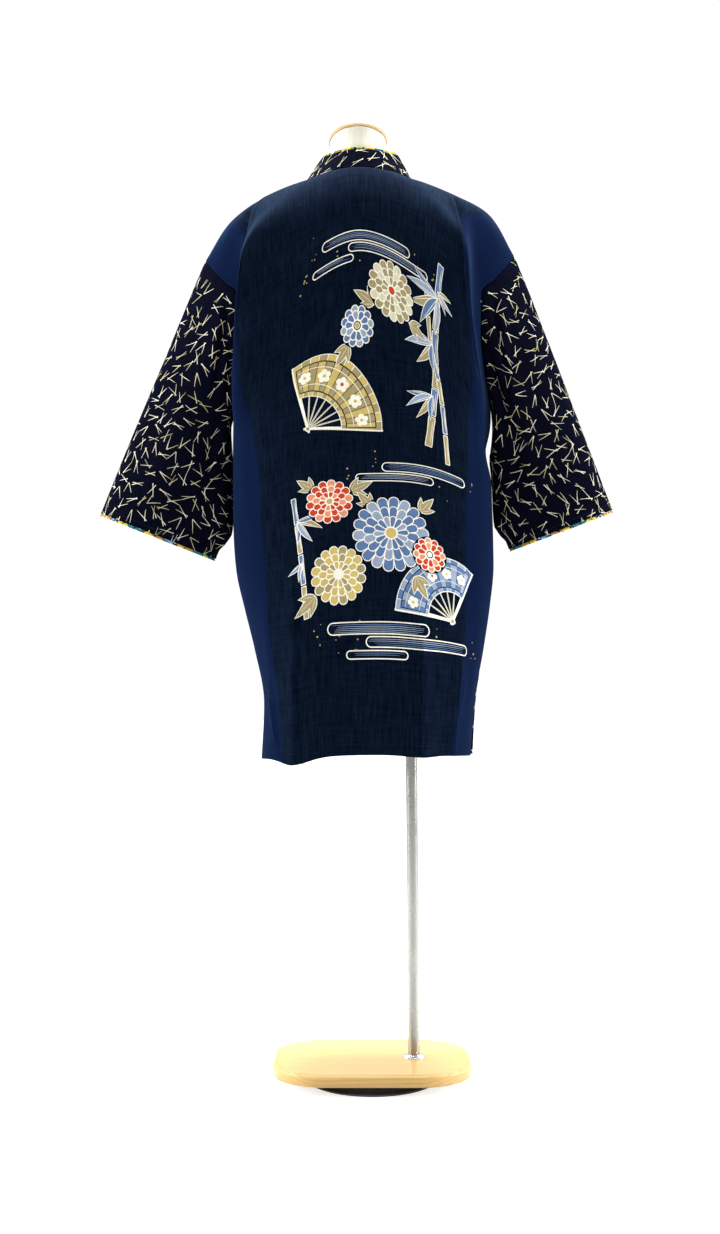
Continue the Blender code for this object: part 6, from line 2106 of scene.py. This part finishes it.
# name, place, height of what it is turned to, size, power
LAMPS = [("left_side", (2.4, 0.15, 1.2), 0.95, 1.2, 96.0),
         ("right_side", (-2.4, 0.15, 1.1), 0.95, 1.2, 88.0),
         ("top", (0.0, -0.50, 3.2), 1.2, 1.2, 340.0),
         ("camera_side", (0.3, 2.5, 2.8), 1.0, 1.6, 22.0)]
for name, place, aim, size, power in LAMPS:
    data = bpy.data.lights.new(name, "AREA")
    data.size, data.energy = size, power
    light = bpy.data.objects.new(name, data)
    light.location = place
    light.rotation_euler = (Vector((0.0, 0.0, aim)) - Vector(place)).to_track_quat(
        "-Z", "Y").to_euler()
    scene.collection.objects.link(light)

FLOOR_HALF = 9
floor_mesh = bpy.data.meshes.new("studio_floor")
floor_mesh.from_pydata([(x * FLOOR_HALF, y * FLOOR_HALF, 0)
                        for x, y in ((-1, -1), (1, -1), (1, 1), (-1, 1))], [], [(0, 1, 2, 3)])
floor_paint, tree, shader = new_material("floor_paint", 0.55, 0.10)
glow = maths("MULTIPLY", node(tree, "LightPath").outputs["Is Camera Ray"], 0.75)
clouds = ramp(noise(here(tree), 3.0), [(0.3, (0.56, 0.56, 0.56)), (0.7, (0.60, 0.60, 0.60))])
join(tree, shader, {"Emission Color": (*WHITE, 1.0), "Emission Strength": glow,
                    "Base Color": clouds})
floor = add_piece("studio_floor", floor_mesh, [floor_paint])
floor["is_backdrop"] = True
print(len(LAMPS), "lamps")

# %% [markdown]
# Last, every piece is tied to the solid that it stands for: it rides on the one body and hides
# that solid. The area of each cloth piece's cut outline is worked out as well.

# %% Pieces and solids
# piece, the node it stands for, slot
STANDS_FOR = [("back", "back", "navy_slub"), ("front_left", "front_left", "navy_slub"),
              ("front_right", "front_right", "navy_slub"),
              ("sleeve_left", "sleeve_left", "needle_print"),
              ("sleeve_right", "sleeve_right", "needle_print"),
              ("facing_left", "cuff_facing_left", "lining"),
              ("facing_right", "cuff_facing_right", "lining"),
              ("band", "collar_band", "needle_print"),
              ("collar_lining", "collar_lining", "lining"), ("form", "dress_form", "linen"),
              ("cap", "neck_cap", "pine"), ("board", "base_board", "pine"),
              ("pole", "pole", "steel"), ("flange", "flange", "chrome"),
              ("screw", "set_screw", "chrome"), ("foot", "foot_disc", "dark_foot")]
STITCHED = {"stitches_back": "navy_slub", "stitches_front_left": "navy_slub",
            "stitches_front_right": "navy_slub", "stitches_cuff_left": "needle_print",
            "stitches_cuff_right": "needle_print", "stitches_band": "needle_print"}
for key, solid, slot in STANDS_FOR:
    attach(pieces[key], "root")
    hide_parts(solid)
for key, slot in STITCHED.items():
    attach(pieces[key], "root")


def declare(outline):
    """Works out the area of the outline that a sheet was cut to."""
    points = np.array(outline)
    x, y = points.T
    area = float(abs(np.sum(x * np.roll(y, -1) - np.roll(x, -1) * y)) / 2)


def rectangle(width, length):
    return [(0, 0), (width, 0), (width, length), (0, length)]


declare(back_outline())
for side in SIDES:
    declare(front_outline(side))
    declare(sleeve_outline(sleeve_cuts[side]))
    points = cuff_facing_points(side)
    round_cuff = np.concatenate([points[FACING_MIDDLE], points[FACING_MIDDLE, :1]])
    declare(rectangle(run_lengths(round_cuff)[-1],
                                        run_lengths(points[:, 0])[-1]))
declare(strip_outline(BAND_WIDTH, BAND_LENGTH))
points = collar_lining_points()
rows, columns = points.shape[:2]
declare(rectangle(run_lengths(points[rows // 2])[-1],
                                   run_lengths(points[:, columns // 2])[-1]))

low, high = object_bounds()
list(low)
print("solids", [round(b - a, 4) for a, b in zip(*solid_box)],
      "dressed", [round(b - a, 4) for a, b in zip(low, high)])
